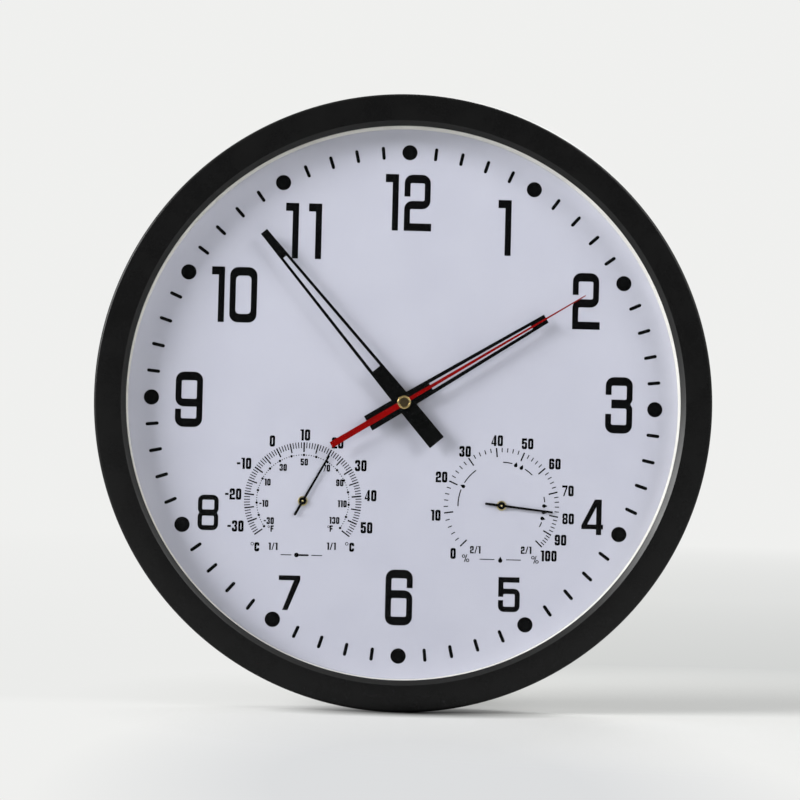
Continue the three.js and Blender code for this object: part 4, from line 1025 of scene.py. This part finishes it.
hygrometerScale = {
    "outer": 33.5,
    "turns": [-135.7, -98.5, -66.0, -36.0, -6.2, 22.3, 48.3, 75.1, 100.1, 119.4, 134.3],
    "tens": (28.2, 0.82), "twos": (31.0, 0.56),
    "labels": [
        ("scale", 6.3, 3.1, [
            ("0", -27.4, -28.2), ("10", -38.0, -6.4), ("20", -35.1, 15.8), ("30", -21.8, 30.9),
            ("40", -3.3, 37.6), ("50", 14.4, 36.2), ("60", 30.5, 24.9), ("70", 38.4, 9.5),
            ("80", 38.9, -6.7), ("90", 34.7, -19.1), ("100", 28.0, -28.45)]),
        ("fine", 4.3, 2.15, [("2/1", -14.6, -25.8), ("2/1", 14.9, -25.4)])],
    "percents": [(-20.1, -30.8), (20.1, -30.8)],
    "percent": {"height": 4.4, "width": 3.6, "radius": 0.23, "line": 0.48, "across": 0.33,
                "along": 0.27, "lean": 0.16, "stroke": 0.55},
}


def ringOfTicks(outer, centre, inner, width, count, first, step, skip=0):
    tick = printed([boxPath(width, outer - inner, 0)])
    return copiesOf(tick, "dialInk", count, step, (outer + inner) / 2, first, skip, centre)


def onInstrument(marks, paths, centre):
    paths = [[(point[0] + centre[0], point[1] + centre[1]) for point in path] for path in paths]
    return merged(*marks, printed(paths))


def loop(radius, line, at):
    return [roundPath(radius, at, 24), roundPath(radius - line, at, 24)]


def thermometerPrint():
    s = thermometerScale
    centre = middle("thermometer_collar")
    step, top = s["perDegree"], s["top"]
    marks = [ringOfTicks(s["outer"], centre, inner, width, count, (first - top) * step,
                         apart * step, skip)
             for inner, width, count, first, apart, skip in s["ticks"]]
    coldest = ((s["coldest"] - 32) * 5 / 9 - top) * step
    for radius, corners, count, apart, skip in s["dots"]:
        dot = printed([roundPath(radius, steps=corners)])
        marks.append(copiesOf(dot, "dialInk", count, apart * step * 5 / 9, s["fahrenheitRing"],
                              coldest, skip, centre))
    paths = labels(s["labels"]) + [path for ring in s["rings"] for path in loop(*ring)]
    paths += rulePaths(ruleSign["length"] + 2 * ruleSign["clear"]) + [bulbPath()]
    return onInstrument(marks, paths, centre)


def percentPaths(x, z):
    # two small rings and a slanted stroke
    s = hygrometerScale["percent"]
    paths = []
    for way in (-1, 1):
        at = (x + way * s["width"] * s["across"], z - way * s["height"] * s["along"])
        paths += loop(s["height"] * s["radius"], s["line"], at)
    lean, thick, half = s["height"] * s["lean"], s["stroke"] / 2, s["height"] / 2
    return paths + [[(x - lean - thick, z - half), (x - lean + thick, z - half),
                     (x + lean + thick, z + half), (x + lean - thick, z + half)]]


def hygrometerPrint():
    s = hygrometerScale
    outer, turns = s["outer"], s["turns"]
    centre = middle("hygrometer_collar")
    marks = [ringOfTicks(outer, centre, *s["tens"], 1, turn, 0) for turn in turns]
    marks += [ringOfTicks(outer, centre, *s["twos"], 5, start, (end - start) / 5, 5)
              for start, end in zip(turns, turns[1:])]
    paths = labels(s["labels"]) + [path for at in s["percents"] for path in percentPaths(*at)]
    paths += arcSignPaths() + rulePaths(ruleSign["drop"] + 2 * ruleSign["clear"])
    paths.append(dropPath((0, ruleSign["height"]), ruleSign["drop"]))
    return onInstrument(marks, paths, centre)


addPrint("thermometer_print", thermometerPrint())
addPrint("hygrometer_print", hygrometerPrint())
print("dial printed")

hands = {       # outline and window: width, and place along the hand
    "hour": {"angle": 58.1, "outline": ((9.65, -23.9), (9.4, 0), (5.4, 95.9)),
             "window": ((4.3, 18.2), (2.35, 86.1)), "sleeve": 3.45},
    "minute": {"angle": -40.7, "outline": ((10.35, -30), (10.1, 0), (4.6, 127.5)),
               "window": ((5.4, 25.1), (2.2, 108.5)), "sleeve": 2.45},
}
secondHand = {"angle": 58.15, "outline": ((3.7, -48.7), (3.3, 0), (2.2, 0.01), (0.6, 122)),
              "hubRadius": 2.85, "hubHeight": 0.4, "sleeve": 1.5, "bore": 0.6}
blade = {"thickness": 0.4, "bevel": 0.07, "sleeve": 1.2, "sleeveWall": 0.9}
secondCap = {"radius": 3.8, "recess": 2.85, "depth": 0.55}


def tapered(*rows):
    # both sides of a straight blade; a row has its width, its place and a rounding
    right = [(width / 2, z, *rest) for width, z, *rest in rows]
    return right + [(-x, z, *rest) for x, z, *rest in reversed(right)]


def sheetHand(hand, front, holes, profile):
    sheet = plate([tapered(*hand["outline"])] + holes, front, front + blade["thickness"],
                  blade["bevel"])
    return turnedBy(merged(sheet, lathe(profile, steps=64)), hand["angle"])


def batonHand(hand, front):
    bore = hand["sleeve"] - blade["sleeveWall"]
    root, back = front + 0.05, front + blade["sleeve"]
    return sheetHand(hand, front, [tapered(*hand["window"]), roundPath(bore, steps=48)], [
        (bore, root), (hand["sleeve"], root), (hand["sleeve"], back, 0.1), (bore, back, 0.05)])


def redHand():
    s = secondHand
    front = levels("second_hand")[0]
    step, back = front + s["hubHeight"], front + blade["sleeve"]
    return sheetHand(s, front, [roundPath(s["bore"], steps=24)], [
        (s["bore"], front), (s["hubRadius"], front, 0.07), (s["hubRadius"], step, 0.07),
        (s["sleeve"], step), (s["sleeve"], back, 0.1), (s["bore"], back)])


for name, hand in hands.items():
    addPiece(name + "_hand_blade", batonHand(hand, levels(name + "_hand")[0]), "handBlack",
             name, "hand_black", name + "_hand", angle=flatAngle)
addPiece("second_hand_blade", redHand(), "handRed", "second", "hand_red", "second_hand",
         angle=flatAngle)


def capFinish():
    # polished brass rim with turning rings; the shallow recess is painted dark, a painted shade
    # standing in for the inside of a hollow eyelet
    finish = Finish("capBrass")
    recess = secondCap["recess"]
    radius = finish.radius()
    lines = finish.turningLines(radius, 0.16, 8)
    stain = finish.noise(1.6, detail=5, roughness=0.7, seed=14)
    inside = finish.between(radius, (recess - 0.12) * mm, recess * mm, 1, 0)
    # painted shade: the recess floor is darkened as if deep down a hollow eyelet
    recessShade = finish.fade(stain, 0.4, 0.7, (0.035, 0.024, 0.008), (0.07, 0.05, 0.02))
    tone = finish.mix(inside, (0.80, 0.60, 0.26), recessShade)
    rough = finish.between(stain + inside * 0.5, 0.5, 1.3, 0.2, 0.5)
    return finish.surface(tone, rough, lines, 0.015, Metallic=1 - inside * 0.6)


def brassCap():
    s = secondCap
    front, back = levels("second_hand_cap")
    floor = front + s["depth"]
    return lathe([(0, floor), (s["recess"], floor, 0.1), (s["recess"], front, 0.12),
                  (s["radius"], front, 0.3), (s["radius"], back, 0.1), (0, back)], steps=96)


finishes["capBrass"] = capFinish()
addPiece("second_hand_boss", brassCap(), "capBrass", "second", "cap_brass", "second_hand_cap")

pointers = {
    "thermometer": {"angle": 28.9, "tip": 30.3, "tail": 9.5},
    "hygrometer": {"angle": 96.1, "tip": 29.9, "tail": 9.7},
}
pointerSizes = {"width": 1.45, "tipWidth": 1.15, "thickness": 0.3, "hole": 0.5, "boss": 2.15,
                "bore": 0.65, "collar": 2.85, "collarHeight": 0.4, "tube": 1.9, "pin": 0.55}


def pointerMesh(name, pointer):
    s = pointerSizes
    front, back = levels(name + "_pointer")
    heart, half = (front + back) / 2, s["thickness"] / 2
    outline = softened(tapered((s["width"], -pointer["tail"], s["width"] / 2 - 0.01),
                               (s["width"], 0), (s["tipWidth"], pointer["tip"], 0.2)))
    needle = plate([outline, roundPath(s["hole"], steps=16)], heart - half, heart + half, 0.05)
    boss = lathe([(s["bore"], front, 0.08), (s["boss"], front, 0.35), (s["boss"], back, 0.1),
                  (s["bore"], back)], steps=64)
    return turnedBy(merged(needle, boss), pointer["angle"], middle(name + "_collar"))


def collarMesh(name, at):
    s = pointerSizes
    front, back = levels(name + "_collar")
    step = front + s["collarHeight"]
    return lathe([(s["bore"], front, 0.05), (s["collar"], front, 0.12), (s["collar"], step, 0.05),
                  (s["tube"], step), (s["tube"], back, 0.1), (s["bore"], back)], at, steps=64)


for name, pointer in pointers.items():
    x, z = at = middle(name + "_collar")
    brass, body = name + "Brass", name + "_needle"
    finishes[brass] = metalFinish(brass, (0.70, 0.60, 0.30), 0.34, 1.0, (x, 0, z), 17)
    pin = band(0, pointerSizes["pin"], *levels(name + "_arbor"), 0.2, 0.1, at, steps=32)
    addPiece(name + "_needle", pointerMesh(name, pointer), "pointerBlack", body, "hand_black",
             name + "_pointer")
    addPiece(name + "_bezel", collarMesh(name, at), brass, "case", "fixing_brass",
             name + "_collar")
    addPiece(name + "_pin", pin, brass, body, "fixing_brass", name + "_arbor")
print("hands and pointers made")

nodeFinishes = {     # the CAD nodes that keep their shape
    "dialBoard": ["dial"],
    "movementBlack": ["movement_tray"],
    "fixingBrass": ["threaded_bush", "brass_washer", "hex_nut", "minute_arbor"],
    "washerRubber": ["rubber_washer"],
    "statorIron": ["stator"],
    "trainWhite": ["coil_bobbin", "hour_wheel", "second_arbor", "centre_wheel", "minute_wheel",
                   "third_wheel", "fifth_wheel"],
    "rotorMagnet": ["rotor"],
    "contactSteel": ["crystal_can", "positive_contact", "negative_contact"],
    "chipResin": ["chip_drop"],
    "cupBlack": ["thermometer_cup", "hygrometer_cup"],
    "bimetal": ["thermometer_coil"],
    "humidityStrip": ["hygrometer_coil"],
    "windingCopper": ["coil_winding"],
    "circuitBoard": ["circuit_board"],
}
for finish, names in nodeFinishes.items():
    for name in names:
        clockNodes[name].data.materials.clear()
        clockNodes[name].data.materials.append(finishes[finish])
print("inner pieces finished")

view = {
    "distance": 1.5,        # from the middle of the dial
    "azimuth": -2.2,        # a little to the left
    "elevation": -2.3,      # a little below, looking up
    "roll": 1.36,           # the clock leans clockwise in the picture
    "lens": 116.55,
    "sensor": 36,
    "dialPixel": (403.5, 402.8),
    "imageSize": 800,
}


def leaned(right, up, roll):
    # the camera's own axes after a roll
    return (right * math.cos(roll) + up * math.sin(roll),
            up * math.cos(roll) - right * math.sin(roll))


def setCamera():
    aim = Vector((0, levels("dial")[0] * mm, 0))
    turn, rise, roll = (math.radians(view[key]) for key in ("azimuth", "elevation", "roll"))
    back = Vector((math.sin(turn) * math.cos(rise), -math.cos(turn) * math.cos(rise),
                   math.sin(rise)))
    place = aim + back * view["distance"]
    right = (-back).cross(Vector((0, 0, 1))).normalized()
    right, up = leaned(right, right.cross(-back), roll)
    perPixel = view["distance"] * view["sensor"] / view["lens"] / view["imageSize"]
    across, down = (pixel - view["imageSize"] / 2 for pixel in view["dialPixel"])
    aim += (up * down - right * across) * perPixel
    back = (place - aim).normalized()
    right = up.cross(back).normalized()
    turned = Matrix((right, back.cross(right), back)).transposed()
    camera = bpy.data.objects.new("camera", bpy.data.cameras.new("camera"))
    camera.data.lens = view["lens"]
    camera.data.sensor_width = view["sensor"]
    camera.data.clip_end = 50
    camera.matrix_world = Matrix.Translation(place) @ turned.to_4x4()
    shownScene.collection.objects.link(camera)
    shownScene.camera = camera


setCamera()

lampSettings = {
    "key": {"place": (-3.3, -1.75, 1.45), "size": 1.9, "power": 203},
    "fill": {"place": (2.5, -2.2, 1.9), "size": 1.7, "power": 68},
    "rear": {"place": (1.1, 2.7, 2.4), "size": 1.6, "power": 70},
}
for name, lamp in lampSettings.items():
    light = bpy.data.lights.new(name, "AREA")
    light.size = lamp["size"]
    light.energy = lamp["power"]
    holder = bpy.data.objects.new(name, light)
    holder.location = lamp["place"]
    holder.rotation_euler = (-Vector(lamp["place"])).to_track_quat("-Z", "Y").to_euler()
    shownScene.collection.objects.link(holder)

backdrop = {"shade": (0.868, 0.871, 0.858), "around": 0.16, "behindCamera": 0.1,
            "frontReach": (-0.95, -0.4)}


def setRoom():
    # the backdrop is bright to the camera, and dim as a light
    room = Finish("studio", "worlds")
    camera, through, glossy = (room.node("ShaderNodeLightPath", output=f"Is {ray} Ray")
                               for ray in ("Camera", "Transmission", "Glossy"))
    towards = room.node("ShaderNodeTexCoord", output="Generated")
    depth = room.node("ShaderNodeSeparateXYZ", None, {"Vector": towards}, output="Y")
    glossy = glossy * room.between(depth, *backdrop["frontReach"], backdrop["behindCamera"], 1)
    seen = room.math("MAXIMUM", room.math("MAXIMUM", camera, through), glossy)
    seen = room.math("MAXIMUM", seen, backdrop["around"])
    glow = room.node("ShaderNodeBackground", None,
                     {"Color": (*backdrop["shade"], 1), "Strength": seen})
    room.node("ShaderNodeOutputWorld", None, {"Surface": glow})
    shownScene.world = room.owner


setRoom()
shownScene.view_settings.view_transform = "Standard"

floorLook = {       # places in millimetres, reaches in metres
    "half": 9, "shades": ((0.74, 0.745, 0.73), (0.77, 0.775, 0.76)),
    "heart": (220, 60), "heartReach": (0.2, 0.42), "least": 0.3,
    # foot keys: where the painted contact shadow lies under the case, and its shade
    "foot": (8, -21), "footStretch": (0.75, 1.75, 1), "footReach": (0.002, 0.066),
    "footCurve": 1.2, "contactShadowShade": (0.01, 0.01, 0.01),
    # patch keys: where the painted reflection of the clock lies on the floor, and its shade
    "patch": (0, -400), "patchStretch": (3, 1, 1), "patchReach": (0.2, 0.5),
    "reflectionShade": (0.718, 0.728, 0.738), "castShadowShade": (0.655, 0.665, 0.655),
    "castShadow": [       # axis, first and last place on it, and the painted shadow's share there
        (0, -2.6, -1.2, 0, 1), (0, -0.06, 0.1, 0.16, 1), (0, 1.2, 3.0, 1, 0),
        (1, -0.01, 0.05, 0, 1), (1, 0.5, 2.0, 1, 0.6), (1, 2.0, 8.0, 1, 0)],
}


def floorFinish():
    # pale floor near the clock that fades into the backdrop's own shade further out
    finish = Finish("paleFloor")
    s = floorLook
    level = cadBox[0][2] / mm
    tone = finish.mix(finish.noise(3, detail=2, seed=1), *s["shades"])
    # painted contact shadow: a dark line on the floor where the case stands
    foot = finish.distance((*s["foot"], level), s["footStretch"])
    clear = finish.between(foot, *s["footReach"], 0, 1) ** s["footCurve"]
    lit = finish.node("ShaderNodeBsdfDiffuse", None,
                      {"Color": finish.mix(clear, s["contactShadowShade"], tone)})
    # painted shadow: the backdrop shade turns darker behind the clock, and more so to its right,
    # where the clock casts its shadow
    axes = finish.axes()
    # the share of the painted cast shadow at each point of the floor
    share = math.prod(finish.between(axes[axis], *step) for axis, *step in s["castShadow"])
    castShadow = finish.mix(share, backdrop["shade"], s["castShadowShade"])
    # a painted reflection of the clock: a greyer patch on the floor in front of it
    base = finish.distance((*s["patch"], level), s["patchStretch"])
    patch = finish.between(base, *s["patchReach"], 1, 0)
    glow = finish.node("ShaderNodeEmission", None,
                       {"Color": finish.mix(patch, castShadow, s["reflectionShade"])})
    spread = finish.distance((*s["heart"], level))
    camera = finish.node("ShaderNodeLightPath", output="Is Camera Ray")
    faded = finish.between(spread, *s["heartReach"], s["least"], 1) * camera * clear
    blend = finish.node("ShaderNodeMixShader", None, {0: faded, 1: lit, 2: glow})
    finish.node("ShaderNodeOutputMaterial", None, {"Surface": blend})
    return finish.owner


floorMesh = bpy.data.meshes.new("floor")
half = floorLook["half"]
corners = [(-half, -half), (half, -half), (half, half), (-half, half)]
floorMesh.from_pydata([(*corner, cadBox[0][2]) for corner in corners], [], [(0, 1, 2, 3)])
floorMesh.materials.append(floorFinish())
floor = bpy.data.objects.new("floor", floorMesh)
shownScene.collection.objects.link(floor)
print("camera, lights and floor set")
